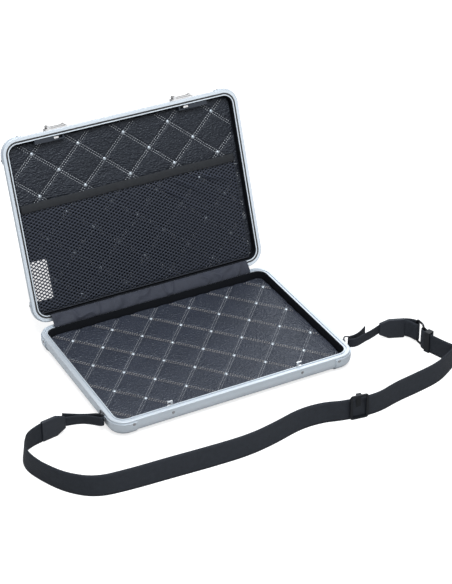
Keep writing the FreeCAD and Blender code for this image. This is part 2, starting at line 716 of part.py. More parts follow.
# Net pocket: a holed net in a hem on the lid's pad, with an elastic edge and a bare card inside
net_left, net_right = net_left_inset - half_width, half_width - net_right_inset
net_rear = half_depth - net_rear_inset
net_z = lid_pad_face - stud_height - net_thickness
net_holes = []
hole_radius = (net_pitch - net_strand) / 2
rows = int((net_rear - net_front - 2 * net_hem) / (net_pitch * math.sqrt(3) / 2))
columns = int((net_right - net_left - 2 * net_hem - net_pitch / 2) / net_pitch)
for row in range(rows):
    for column in range(columns):
        x = (net_left + net_right) / 2 + (column - (columns - 1) / 2 + (row % 2) / 2 - 1 / 4) * net_pitch
        y = net_front + net_hem + (row + 1 / 2) * net_pitch * math.sqrt(3) / 2
        turns = [math.radians(60 * k + 30) for k in range(6)]
        net_holes.append(Part.makePolygon(
            [point(x + hole_radius * math.cos(a), y + hole_radius * math.sin(a), net_z)
             for a in turns + turns[:1]]))
net_wire = Part.makePolygon([point(net_left, net_front, net_z), point(net_right, net_front, net_z),
                             point(net_right, net_rear, net_z), point(net_left, net_rear, net_z),
                             point(net_left, net_front, net_z)])
net = Part.makeFace([net_wire] + net_holes, "Part::FaceMakerBullseye").extrude(Z * net_thickness)
hem = box(net_left, net_right, net_front, net_rear, net_z, lid_pad_face).cut(
    box(net_left + net_hem, net_right - net_hem, net_front - overrun, net_rear - net_hem,
        net_z - overrun, lid_pad_face + overrun))
nodes["pocket_net"] = opened(joined([net, hem]))
elastic_z = net_z - clear
elastic_front = net_front - elastic_width
elastic = [box(net_left, net_right, elastic_front, net_front, elastic_z,
               elastic_z + elastic_thickness)]
for low_x in (net_left, net_right - net_hem):
    elastic.append(box(low_x, low_x + net_hem, elastic_front, net_front, net_z, lid_pad_face))
nodes["pocket_elastic"] = opened(joined(elastic))
card_x = net_left + net_hem + clear
nodes["pocket_card"] = opened(box(card_x, card_x + card_width, card_front, card_front + card_length,
                                  lid_pad_face - card_thickness, lid_pad_face))

# Gusset: cloth from the tray's rear wall over both rims into the lid
tray_grip_y = half_depth - rim_width - liner_thickness - gusset_thickness / 2 - snug


def open_point(y, z):
    """Where a point of the shut lid's section stands when the lid is open."""
    angle = math.radians(-lid_open_angle)
    dy, dz = y - hinge_y, z - hinge_z
    return (hinge_y + dy * math.cos(angle) - dz * math.sin(angle),
            hinge_z + dy * math.sin(angle) + dz * math.cos(angle))


gusset_path = [
    (tray_grip_y, rim_z - gusset_grip), (tray_grip_y, rim_z + gusset_rise),
    open_point(tray_grip_y, lid_rim_z - gusset_rise), open_point(tray_grip_y, lid_rim_z + gusset_hold)]


bend_share = 0.45


def route_pieces(points):
    """Straight runs joined by tangent arcs: (start, middle or None, end) with the left normals."""
    places = [point(x, y) for x, y in points]
    pieces, radii = [], []
    last = places[0]
    for i in range(1, len(places) - 1):
        back, on = places[i - 1] - places[i], places[i + 1] - places[i]
        turn = math.pi - back.getAngle(on)
        shorter = min(back.Length, on.Length)
        back.normalize()
        on.normalize()
        reach = bend_share * shorter
        radius = reach / math.tan(turn / 2)
        radii.append(radius)
        inward = back + on
        inward.normalize()
        start, end = places[i] + back * reach, places[i] + on * reach
        middle = places[i] + inward * (radius / math.cos(turn / 2) - radius)
        side = math.copysign(1, on.cross(back).z)
        pieces.append((last, None, start, turned(back * -1, 90), None, turned(back * -1, 90)))
        pieces.append((start, middle, end, turned(back * -1, 90), inward * side, turned(on, 90)))
        last = end
    run = places[-1] - last
    run.normalize()
    pieces.append((last, None, places[-1], turned(run, 90), None, turned(run, 90)))
    return pieces, radii


def strip(points, thickness):
    """A flat face that follows the route with the given thickness, its length and its radii."""
    pieces, radii = route_pieces(points)
    edges = []
    for offset in (thickness / 2, -thickness / 2):
        for start, middle, end, n0, n1, n2 in pieces:
            a, b = start + n0 * offset, end + n2 * offset
            if middle is None:
                edges.append(Part.LineSegment(a, b).toShape())
            else:
                edges.append(Part.Arc(a, middle + n1 * offset, b).toShape())
    first, last = pieces[0], pieces[-1]
    for place, normal in ((first[0], first[3]), (last[2], last[5])):
        edges.append(Part.LineSegment(place + normal * (thickness / 2),
                                      place - normal * (thickness / 2)).toShape())
    middle_edges = [Part.LineSegment(s, e) if m is None else Part.Arc(s, m, e)
                    for s, m, e, _a, _b, _c in pieces]
    length = sum(edge.toShape().Length for edge in middle_edges)
    return Part.Face(Part.Wire(Part.__sortEdges__(edges))), length, radii


def band(name, points, width, thickness, z):
    """A strip of webbing on its edge, checked against its section times its length."""
    face, length, radii = strip(points, thickness)
    solid = face.extrude(Z * width)
    solid.translate(Z * z)
    print("%s: length %.1f, volume %.0f of %.0f, radii %s" % (
        name, length, solid.Volume, width * thickness * length, " ".join("%.0f" % r for r in radii)))
    return solid


gusset_face, gusset_length, gusset_radii = strip(gusset_path, gusset_thickness)
gusset_face.rotate(ORIGIN, X, 90)
gusset_face.rotate(ORIGIN, Z, 90)
gusset_face.translate(X * -gusset_half_length)
nodes["hinge_gusset"] = gusset_face.extrude(X * (2 * gusset_half_length))

# Shoulder strap: connectors, narrow end straps, webbing, adjuster, keeper and eye
def connector(wide_end, narrow_end):
    """A flat tab on its edge, wide where the webbing enters and narrowed to the end strap."""
    start, end = point(*wide_end), point(*narrow_end)
    length = (end - start).Length
    middle = narrow_rise + narrow_width / 2
    straight = length * connector_straight_share
    half_nose = connector_nose_height / 2
    face = Part.Face(outline([
        (0, 0, 0), (straight, 0, 0), (length, middle - half_nose, 0), (length, middle + half_nose, 0),
        (straight, connector_height, 0), (0, connector_height, 0)]))
    tab = face.extrude(Z * connector_thickness)
    tab.translate(Z * (-connector_thickness / 2))
    tab.rotate(ORIGIN, X, 90)
    tab.rotate(ORIGIN, Z, math.degrees(math.atan2(end.y - start.y, end.x - start.x)))
    tab.translate(start + Z * floor_z)
    return tab


def placed(solid, x, y, turn):
    solid.rotate(ORIGIN, Z, turn)
    solid.translate(point(x, y, floor_z))
    return solid


short_middle = [(a + b) / 2 for a, b in zip(short_route[0], short_route[-1])]
nodes["strap_connector_left"] = connector(webbing_route[0], left_narrow_route[0])
nodes["strap_connector_right"] = connector(short_middle, right_narrow_route[0])
nodes["strap_narrow_left"] = band("strap_narrow_left", left_narrow_route, narrow_width,
                                  narrow_thickness, floor_z + narrow_rise)
nodes["strap_narrow_right"] = band("strap_narrow_right", right_narrow_route, narrow_width,
                                   narrow_thickness, floor_z + narrow_rise)
nodes["strap_webbing_short"] = band("strap_webbing_short", short_route,
                                    connector_height - fitting_lift - clear, webbing_thickness,
                                    floor_z + fitting_lift)
webbing = band("strap_webbing_long", webbing_route, webbing_width, webbing_thickness, floor_z)
bar_gap = webbing_thickness / 2 + snug
behind = box(-adjuster_bar, adjuster_bar, bar_gap, bar_gap + adjuster_plate, 0, adjuster_height)
half_adjuster = adjuster_length / 2
front_face = Part.Face(outline([
    (-half_adjuster, 0, adjuster_corner), (half_adjuster, 0, adjuster_corner),
    (half_adjuster, adjuster_height, adjuster_corner),
    (-half_adjuster, adjuster_height, adjuster_corner)]))
front_plate = front_face.extrude(Z * adjuster_plate)
front_plate.rotate(ORIGIN, X, 90)
front_plate.translate(Y * -bar_gap)
window = box(adjuster_bar - half_adjuster, half_adjuster - adjuster_bar,
             -bar_gap - adjuster_plate - overrun, -bar_gap + overrun, fitting_lift,
             adjuster_height - fitting_lift)
links = [box(-adjuster_bar, adjuster_bar, -bar_gap, bar_gap, low, low + fitting_lift - clear)
         for low in (0, adjuster_height - fitting_lift + clear)]
nodes["strap_adjuster"] = placed(joined([behind, front_plate.cut(window)] + links),
                                 adjuster_x, adjuster_y, adjuster_turn)
adjuster_notch = placed(box(-adjuster_bar - clear, adjuster_bar + clear, -bar_gap, bar_gap, -overrun,
                            fitting_lift), adjuster_x, adjuster_y, adjuster_turn)
sleeve = box(-keeper_length / 2, keeper_length / 2, -keeper_width / 2, keeper_width / 2, 0,
             webbing_width + 2 * keeper_wall)
sleeve_bore = box(-keeper_length, keeper_length, keeper_wall - keeper_width / 2,
                  keeper_width / 2 - keeper_wall, keeper_wall, webbing_width + keeper_wall)
nodes["strap_keeper"] = placed(sleeve.cut(sleeve_bore), keeper_x, keeper_y, keeper_turn)
keeper_notch = placed(box(-keeper_length / 2 - clear, keeper_length / 2 + clear, -keeper_width,
                          keeper_width, -overrun, keeper_wall + clear), keeper_x, keeper_y, keeper_turn)
eye_notch = box(eye_x - 4 * eye_wire, eye_x + 4 * eye_wire, keeper_y + keeper_width / 2, eye_back,
                floor_z - overrun, floor_z + fitting_lift)
nodes["strap_webbing_long"] = webbing.cut([adjuster_notch, keeper_notch, eye_notch])
eye_loop = outline([(eye_front, eye_wire, eye_bend), (eye_back, eye_wire, eye_bend),
                    (eye_back, adjuster_height - eye_wire, eye_bend),
                    (eye_front, adjuster_height - eye_wire, eye_bend)])
first = eye_loop.Edges[1]
circle = Part.Wire(Part.makeCircle(eye_wire, first.valueAt(first.FirstParameter),
                                   first.tangentAt(first.FirstParameter)))
eye_ring = Part.Wire(eye_loop.Edges[1:] + eye_loop.Edges[:1]).makePipeShell([circle], True, True, 2)
eye_ring.rotate(ORIGIN, X, 90)
eye_ring.rotate(ORIGIN, Z, 90)
eye_ring.translate(point(eye_x, 0, floor_z))
nodes["strap_eye"] = Part.Solid(eye_ring) if eye_ring.ShapeType == "Shell" else eye_ring

os.makedirs("parts", exist_ok=True)
faulty = [name for name, shape in sorted(nodes.items()) if not (shape.isValid() and shape.Solids)]
if faulty:
    raise ValueError("not valid solids: %s" % ", ".join(faulty))
for name, shape in sorted(nodes.items()):
    shape.exportStep("parts/%s.step" % name)
print("%d nodes" % len(nodes))
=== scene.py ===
"""Looks of the laptop hard case: finishes, quilted pads, net pocket, gusset and shoulder strap."""
from math import atan2, copysign, cos, exp, hypot, pi, radians, sin, sqrt, tau

import bmesh
import bpy
import numpy as np
from bpy.props import FloatProperty, FloatVectorProperty, PointerProperty
from bpy.types import Operator, Panel, PropertyGroup
from mathutils import Matrix, Vector, noise
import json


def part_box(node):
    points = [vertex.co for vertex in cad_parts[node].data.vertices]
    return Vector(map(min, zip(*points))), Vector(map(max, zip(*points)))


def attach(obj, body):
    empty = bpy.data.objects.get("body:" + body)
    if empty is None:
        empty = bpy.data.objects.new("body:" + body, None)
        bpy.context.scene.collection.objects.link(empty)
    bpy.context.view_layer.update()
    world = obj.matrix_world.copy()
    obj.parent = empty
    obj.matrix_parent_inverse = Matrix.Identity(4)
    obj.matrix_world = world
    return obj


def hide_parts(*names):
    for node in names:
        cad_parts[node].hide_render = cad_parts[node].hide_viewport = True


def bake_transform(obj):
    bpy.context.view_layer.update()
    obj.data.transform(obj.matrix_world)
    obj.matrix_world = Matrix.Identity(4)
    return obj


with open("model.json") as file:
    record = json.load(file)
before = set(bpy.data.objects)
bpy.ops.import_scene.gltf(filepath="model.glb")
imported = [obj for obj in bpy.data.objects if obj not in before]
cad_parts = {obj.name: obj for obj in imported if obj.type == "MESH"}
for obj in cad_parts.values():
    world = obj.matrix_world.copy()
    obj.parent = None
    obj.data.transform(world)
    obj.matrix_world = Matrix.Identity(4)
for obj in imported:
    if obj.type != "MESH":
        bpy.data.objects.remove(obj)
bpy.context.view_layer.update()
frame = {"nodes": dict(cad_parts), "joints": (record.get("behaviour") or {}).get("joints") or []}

bl_info = {
    "name": "Laptop hard case",
    "version": (1, 0, 0),
    "blender": (4, 5, 0),
    "location": "3D View > Sidebar > Laptop case",
    "description": "Dresses the packed laptop case: metal, quilted pads, net pocket, gusset and strap",
    "category": "Object",
}

MM = 0.001
nodes = frame["nodes"]
FLOOR_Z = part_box("tray_guard_front_left")[0].z

# The turn that takes a piece made on the shut lid to the open lid
LID_HINGE = next(joint for joint in frame["joints"] if joint["name"] == "lid_hinge")
AXIS = Matrix.Translation(LID_HINGE["pos_m"])
LID_TURN = AXIS @ Matrix.Rotation(-radians(LID_HINGE["range_deg"][1]), 4, "X") @ AXIS.inverted()

# Route of the webbing on the floor, in metres, with the lean of its top edge in degrees at each point
WEBBING_ROUTE = [
    (-0.2850, -0.0950, 0), (-0.3037, -0.0982, 4), (-0.3220, -0.1120, 8), (-0.3310, -0.1420, 6),
    (-0.3200, -0.1780, 2), (-0.3010, -0.2160, 4), (-0.2700, -0.2450, 8), (-0.2250, -0.2515, 11),
    (-0.1650, -0.2545, 13), (-0.1000, -0.2585, 13), (-0.0450, -0.2595, 12), (0.0000, -0.2520, 12),
    (0.0450, -0.2395, 11), (0.0820, -0.2408, 9), (0.1080, -0.2500, 6), (0.1600, -0.2574, 6),
    (0.2000, -0.2465, 9), (0.2400, -0.2410, 10), (0.2800, -0.2330, 9), (0.3080, -0.2170, 6),
    (0.3265, -0.2040, 2), (0.3175, -0.1885, 0), (0.3115, -0.1700, 0), (0.3053, -0.1520, 0),
    (0.3055, -0.1405, 0), (0.3123, -0.1393, 0), (0.3110, -0.1520, 0), (0.3130, -0.1625, 0)]
SHORT_ROUTE = [
    (0.2985, -0.1069, 0), (0.3056, -0.1110, 0), (0.3122, -0.1196, 0), (0.3122, -0.1293, 0),
    (0.3050, -0.1295, 0), (0.3030, -0.1176, 0), (0.2971, -0.1103, 0)]
LEFT_END_ROUTE = [
    (-0.2470, -0.0885, 0), (-0.2270, -0.0919, 0), (-0.2120, -0.1030, 0), (-0.2046, -0.1114, 0),
    (-0.1982, -0.1131, 0), (-0.1970, -0.1069, 0), (-0.2022, -0.1009, 0), (-0.2160, -0.0955, 0),
    (-0.2310, -0.0875, 0), (-0.2464, -0.0772, 0)]
RIGHT_END_ROUTE = [
    (0.2620, -0.0940, 0), (0.2460, -0.1004, 0), (0.2310, -0.1036, 0), (0.2133, -0.1098, 0),
    (0.2016, -0.1048, 0), (0.2053, -0.0987, 0), (0.2153, -0.0999, 0), (0.2295, -0.0950, 0),
    (0.2418, -0.0865, 0)]


class CaseStageSettings(PropertyGroup):
    """Camera, floor and lamps."""
    azimuth: FloatProperty(
        name="Azimuth", description="Camera's turn to the left of the front", default=27.133507)
    elevation: FloatProperty(
        name="Elevation", description="Camera's height above the horizon", default=31.888459)
    roll: FloatProperty(name="Roll", description="Camera's turn about its own axis", default=-0.696629)
    place: FloatVectorProperty(
        name="Place", description="Camera's place", subtype="TRANSLATION", unit="LENGTH",
        default=(-1.0062, -2.0673, 1.5344))
    lens: FloatProperty(
        name="Lens", description="Focal length for a 36 mm sensor", unit="CAMERA", default=114.534)
    floor_size: FloatProperty(
        name="Floor size", description="Side of the floor", unit="LENGTH", default=12.0)
    world_level: FloatProperty(name="World level", description="Light from all round", default=0.5)
    key_power: FloatProperty(
        name="Key lamp", description="Power of the large lamp above the front", unit="POWER", default=54.0)
    side_power: FloatProperty(
        name="Side lamp", description="Power of the long lamp behind the right", unit="POWER",
        default=13.0)
    gleam_power: FloatProperty(
        name="Gleam lamp", description="Power of the low lamp that the lid's rim mirrors", unit="POWER",
        default=6.5)


class CaseColours(PropertyGroup):
    """Base colours of the finishes."""
    aluminium: FloatVectorProperty(
        name="Aluminium", description="Anodised frame and guards", subtype="COLOR",
        default=(0.60, 0.65, 0.70))
    leatherette: FloatVectorProperty(
        name="Leatherette", description="Quilted pads", subtype="COLOR", default=(0.0160, 0.0185, 0.0265))
    thread: FloatVectorProperty(
        name="Thread", description="Twisted rows of the tray's stitching", subtype="COLOR",
        default=(0.50, 0.46, 0.42))
    lining: FloatVectorProperty(
        name="Lining", description="Inner walls", subtype="COLOR", default=(0.0042, 0.0056, 0.0088))
    net: FloatVectorProperty(
        name="Net", description="Cords of the net", subtype="COLOR", default=(0.0270, 0.0325, 0.0485))
    elastic: FloatVectorProperty(
        name="Elastic", description="Band along the pocket's mouth", subtype="COLOR",
        default=(0.0210, 0.0230, 0.0265))
    gusset: FloatVectorProperty(
        name="Gusset", description="Cloth over the hinge", subtype="COLOR", default=(0.027, 0.031, 0.046))
    webbing: FloatVectorProperty(
        name="Webbing", description="Shoulder strap", subtype="COLOR", default=(0.0175, 0.0212, 0.0285))
    tab: FloatVectorProperty(
        name="Tabs", description="Tabs at the webbing's ends", subtype="COLOR",
        default=(0.0130, 0.0150, 0.0215))


class CaseQuilt(PropertyGroup):
    """Sizes of the quilting."""
    cell: FloatProperty(
        name="Mesh cell", description="Spacing of a pad's mesh", unit="LENGTH", default=1.3 * MM)
    row_gap: FloatProperty(
        name="Row gap", description="Between the two rows of a stitched line", unit="LENGTH",
        default=3.4 * MM)
    stitch: FloatProperty(
        name="Stitch", description="Length of one stitch", unit="LENGTH", default=2.7 * MM)
    stitch_pitch: FloatProperty(
        name="Stitch pitch", description="From one stitch to the next", unit="LENGTH", default=3.6 * MM)
    thread: FloatProperty(
        name="Thread", description="Thickness of the thread", unit="LENGTH", default=0.62 * MM)
    dip: FloatProperty(
        name="Dip", description="How far the lines are drawn in", unit="LENGTH", default=0.8 * MM)
    slant: FloatProperty(
        name="Slant", description="Turn of the stitches in the twisted rows", subtype="ANGLE", default=0.42)
    swell: FloatProperty(
        name="Swell", description="How far a diamond's middle stands up", unit="LENGTH", default=0.7 * MM)
    edge: FloatProperty(
        name="Edge", description="Rounding of a pad's edge", unit="LENGTH", default=1.8 * MM)
    corner: FloatProperty(
        name="Corner", description="Radius of a pad's corners", unit="LENGTH", default=12.5 * MM)


# Shared helpers
def colours():
    return bpy.context.scene.laptop_case_colours


def shut_box(name):
    """A lid node's lowest and highest corner with the lid shut."""
    back = LID_TURN.inverted()
    corners = [back @ vertex.co for vertex in nodes[name].data.vertices]
    return [Vector(pick(c[i] for c in corners) for i in range(3)) for pick in (min, max)]


def card_box():
    """The pocket card's box, reaching under the rim."""
    low, high = shut_box("pocket_card")
    low.x -= 3.9 * MM
    return low, high


def coat(piece, material):
    piece.data.materials.clear()
    piece.data.materials.append(material)


def finished(piece, body, slot, material, *replaced):
    """Paints a piece and says what it rides on and replaces; a lid piece, made shut, is turned open."""
    if body == "lid":
        piece.data.transform(LID_TURN)
    coat(piece, material)
    if body:
        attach(piece, body)
    if replaced:
        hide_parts(*replaced)


def added(name, data):
    """A new object in the scene."""
    made = bpy.data.objects.new(name, data)
    bpy.context.scene.collection.objects.link(made)
    return made


def mesh_piece(name, vertices, faces, smooth=True):
    """A new object from lists of places and faces."""
    mesh = bpy.data.meshes.new(name)
    mesh.from_pydata([tuple(v) for v in vertices], [], faces)
    mesh.update()
    if smooth:
        mesh.shade_smooth()
    return added(name, mesh)


def uv_map(piece, place):
    """A UV map by the vertex's number, in metres where a weave follows it."""
    layer = piece.data.uv_layers.new(name="UVMap")
    for loop in piece.data.loops:
        layer.data[loop.index].uv = place(loop.vertex_index)


def modified(piece, kind, **values):
    """Adds a modifier and applies it."""
    modifier = piece.modifiers.new(kind, kind)
    for key, value in values.items():
        setattr(modifier, key, value)
    bpy.ops.object.select_all(action="DESELECT")
    piece.select_set(True)
    bpy.context.view_layer.objects.active = piece
    bpy.ops.object.modifier_apply(modifier=kind)


def outward(piece):
    """Merges doubles and points all faces out."""
    mesh = bmesh.new()
    mesh.from_mesh(piece.data)
    bmesh.ops.remove_doubles(mesh, verts=mesh.verts, dist=0.01 * MM)
    bmesh.ops.recalc_face_normals(mesh, faces=mesh.faces)
    mesh.to_mesh(piece.data)
    mesh.free()


def grid_faces(rows, columns, closed=False):
    """Quads of a grid stored row by row; closed joins the last column to the first."""
    pairs = [(j, (j + 1) % columns) for j in range(columns if closed else columns - 1)]
    return [(start + j, start + k, start + columns + k, start + columns + j)
            for start in range(0, (rows - 1) * columns, columns) for j, k in pairs]


def tube_faces(stations, ring):
    """Faces of a tube of rings, closed by a cap at each end."""
    last = (stations - 1) * ring
    caps = [tuple(reversed(range(ring))), tuple(range(last, last + ring))]
    return grid_faces(stations, ring, True) + caps


# Shader helpers
def feed(tree, socket, value):
    """Gives an input a value or another node's output."""
    if isinstance(value, bpy.types.NodeSocket):
        tree.links.new(value, socket)
    else:
        socket.default_value = value


def fill(tree, made, **values):
    """Feeds a node's inputs by name, with _ for a space, and sets its other settings."""
    for key, value in values.items():
        socket = made.inputs.get(key.replace("_", " "))
        if socket:
            feed(tree, socket, value)
        else:
            setattr(made, key, value)


def node(tree, kind, **values):
    """A new shader node, filled; gives its outputs."""
    made = tree.nodes.new("ShaderNode" + kind)
    fill(tree, made, **values)
    return made.outputs


def maths(tree, operation, *values):
    """A math node on sockets or numbers; gives its output."""
    made = tree.nodes.new("ShaderNodeMath")
    made.operation = operation
    for socket, value in zip(made.inputs, values):
        feed(tree, socket, value)
    return made.outputs[0]


def span(tree, socket, low, high):
    """A value mapped from 0..1 to low..high."""
    return node(tree, "MapRange", Value=socket, To_Min=low, To_Max=high)["Result"]


def tinted(tree, mask, dark, light):
    """A colour between two, by a mask."""
    made = tree.nodes.new("ShaderNodeMix")
    made.data_type = "RGBA"
    for index, value in ((0, mask), (6, (*dark, 1)), (7, (*light, 1))):
        feed(tree, made.inputs[index], value)
    return made.outputs[2]


def grain_effect(tree, given):
    """Pebbled grain: a height from cells and wrinkles, drawn out along X, and slow patches."""
    split = node(tree, "SeparateXYZ", Vector=node(tree, "TexCoord")["Object"])
    drawn = node(tree, "CombineXYZ", X=maths(tree, "DIVIDE", split["X"], given["Stretch"]),
                 Y=split["Y"], Z=split["Z"])[0]
    cells = node(tree, "TexVoronoi", feature="SMOOTH_F1", Smoothness=0.6, Vector=drawn, Scale=given["Scale"])
    wrinkles = node(tree, "TexNoise", Detail=4.0, Distortion=1.2, Vector=drawn,
                    Scale=maths(tree, "MULTIPLY", given["Scale"], 0.42))
    patches = node(tree, "TexNoise", Scale=22.0, Detail=2.0, Vector=drawn)
    folded = maths(tree, "MULTIPLY", wrinkles["Fac"], given["Wrinkles"])
    return maths(tree, "ADD", cells["Distance"], folded), patches["Fac"]


def weave_effect(tree, given):
    """Plain weave along a UV map in metres: a height that ribs across and along the band."""
    place = node(tree, "UVMap")[0]
    split = node(tree, "SeparateXYZ", Vector=place)
    waves = [maths(tree, "SINE", maths(tree, "MULTIPLY", maths(tree, "MULTIPLY", split[axis], given[way]),
                                       tau)) for axis, way in (("X", "Along"), ("Y", "Across"))]
    shade = node(tree, "TexNoise", Scale=160.0, Detail=3.0, Vector=place)["Fac"]
    return maths(tree, "ADD", maths(tree, "MULTIPLY", *waves), shade), shade


def satin_effect(tree, given):
    """Satin surface: fine specks in its height, and slow patches for its roughness."""
    place = node(tree, "TexCoord")["Object"]
    specks = node(tree, "TexNoise", Detail=2.0, Vector=place, Scale=given["Scale"])
    return specks["Fac"], node(tree, "TexNoise", Scale=14.0, Detail=5.0, Vector=place)["Fac"]


def wear_effect(tree, given):
    """Edge wear: where the surface turns sharply outwards, broken up by noise."""
    breaks = node(tree, "TexNoise", Scale=90.0, Detail=6.0, Vector=node(tree, "TexCoord")["Object"])
    turning = maths(tree, "SUBTRACT", node(tree, "NewGeometry")["Pointiness"], 0.53)
    broken = maths(tree, "MULTIPLY", maths(tree, "MULTIPLY", turning, 9.0), breaks["Fac"])
    return [node(tree, "Clamp", Value=maths(tree, "MULTIPLY", broken, given["Amount"]))[0]]


# Each node group's maker, its inputs and its outputs
EFFECTS = {
    "Grain": (grain_effect, {"Scale": 600.0, "Wrinkles": 0.5, "Stretch": 1.0}, ("Height", "Patches")),
    "Weave": (weave_effect, {"Along": 900.0, "Across": 1400.0}, ("Height", "Shade")),
    "Satin": (satin_effect, {"Scale": 2500.0}, ("Height", "Patches")),
    "Edge wear": (wear_effect, {"Amount": 0.5}, ("Mask",)),
}


def effect(tree, name, **values):
    """Places a node group, built where it is first asked for, with its own values; gives its outputs."""
    group = bpy.data.node_groups.get(name)
    if group is None:
        make, inputs, outputs = EFFECTS[name]
        group = bpy.data.node_groups.new(name, "ShaderNodeTree")
        for label, default in inputs.items():
            socket = group.interface.new_socket(name=label, in_out="INPUT", socket_type="NodeSocketFloat")
            socket.default_value = default
        for label in outputs:
            group.interface.new_socket(name=label, in_out="OUTPUT", socket_type="NodeSocketFloat")
        inside, outside = group.nodes.new("NodeGroupInput"), group.nodes.new("NodeGroupOutput")
        for socket, value in zip(outside.inputs, make(group, inside.outputs)):
            group.links.new(value, socket)
    return node(tree, "Group", node_tree=group, **values)


def dressed(material, **values):
    """Feeds a material's Principled shader; gives the material."""
    tree = material.node_tree
    fill(tree, tree.nodes["Principled BSDF"], **values)
    return material


def shader(name, **values):
    """A new material with a Principled shader; gives it and its tree."""
    material = bpy.data.materials.new(name)
    material.use_nodes = True
    return dressed(material, **values), material.node_tree


def bump(tree, height, strength, distance):
    return node(tree, "Bump", Strength=strength, Distance=distance, Height=height)["Normal"]


def lighter(colour, factor):
    return tuple(min(1.0, part * factor) for part in colour)


def satin(name, colour, roughness, scale, wear, bright, strength, depth, **values):
    """An even surface with fine specks, patches in its gloss and edges that are worn brighter."""
    material, tree = shader(name, Roughness=roughness, **values)
    specks = effect(tree, "Satin", Scale=scale)
    worn = effect(tree, "Edge wear", Amount=wear)["Mask"]
    return dressed(material, Base_Color=tinted(tree, worn, colour, lighter(colour, bright)),
                   Roughness=span(tree, specks["Patches"], roughness - 0.06, roughness + 0.08),
                   Normal=bump(tree, specks["Height"], strength, depth))


def satin_metal(name, colour, roughness, wear=0.4, metallic=1.0):
    return satin(name, colour, roughness, 2500.0, wear, 1.35, 0.08, 0.1 * MM, Metallic=metallic)


def moulded(name, colour, roughness, scale=1800.0, strength=0.15, specular=0.5):
    """Moulded plastic or rubber."""
    return satin(name, colour, roughness, scale, 0.5, 2.2, strength, 0.15 * MM, Specular_IOR_Level=specular)


def leather(name, colour, scale, roughness, depth, wrinkles=0.6, stretch=1.0, specular=0.5):
    """Grained leatherette with a cool gloss."""
    material, tree = shader(name, Roughness=roughness, Specular_IOR_Level=specular,
                            Specular_Tint=(0.86, 0.93, 1.0, 1))
    grain = effect(tree, "Grain", Scale=scale, Wrinkles=wrinkles, Stretch=stretch)
    return dressed(
        material, Base_Color=tinted(tree, grain["Patches"], lighter(colour, 0.8), lighter(colour, 1.25)),
        Roughness=span(tree, grain["Height"], roughness - 0.07, roughness + 0.1),
        Normal=bump(tree, grain["Height"], 1.0, depth))


def cloth(name, colour, roughness, along, across, strength, sheen=0.0):
    """Woven cloth whose pattern follows the piece's UV map in metres."""
    material, tree = shader(name, Roughness=roughness, Specular_IOR_Level=0.3, Sheen_Weight=sheen)
    weave = effect(tree, "Weave", Along=along, Across=across)
    return dressed(
        material, Base_Color=tinted(tree, weave["Shade"], lighter(colour, 0.75), lighter(colour, 1.3)),
        Normal=bump(tree, weave["Height"], strength, 0.25 * MM))


def thread_material(name, twisted, plain):
    """Thread in two tints, told apart by the piece's UV map, with a twist in its height."""
    material, tree = shader(name, Roughness=0.6)
    twist = effect(tree, "Grain", Scale=2600.0, Wrinkles=0.4)
    row = node(tree, "SeparateXYZ", Vector=node(tree, "UVMap")[0])["X"]
    tint = tinted(tree, maths(tree, "GREATER_THAN", row, 0.5), twisted, plain)
    shade = node(tree, "HueSaturation", Color=tint, Value=span(tree, twist["Patches"], 0.6, 1.4))
    return dressed(material, Base_Color=shade["Color"], Normal=bump(tree, twist["Height"], 0.4, 0.1 * MM))


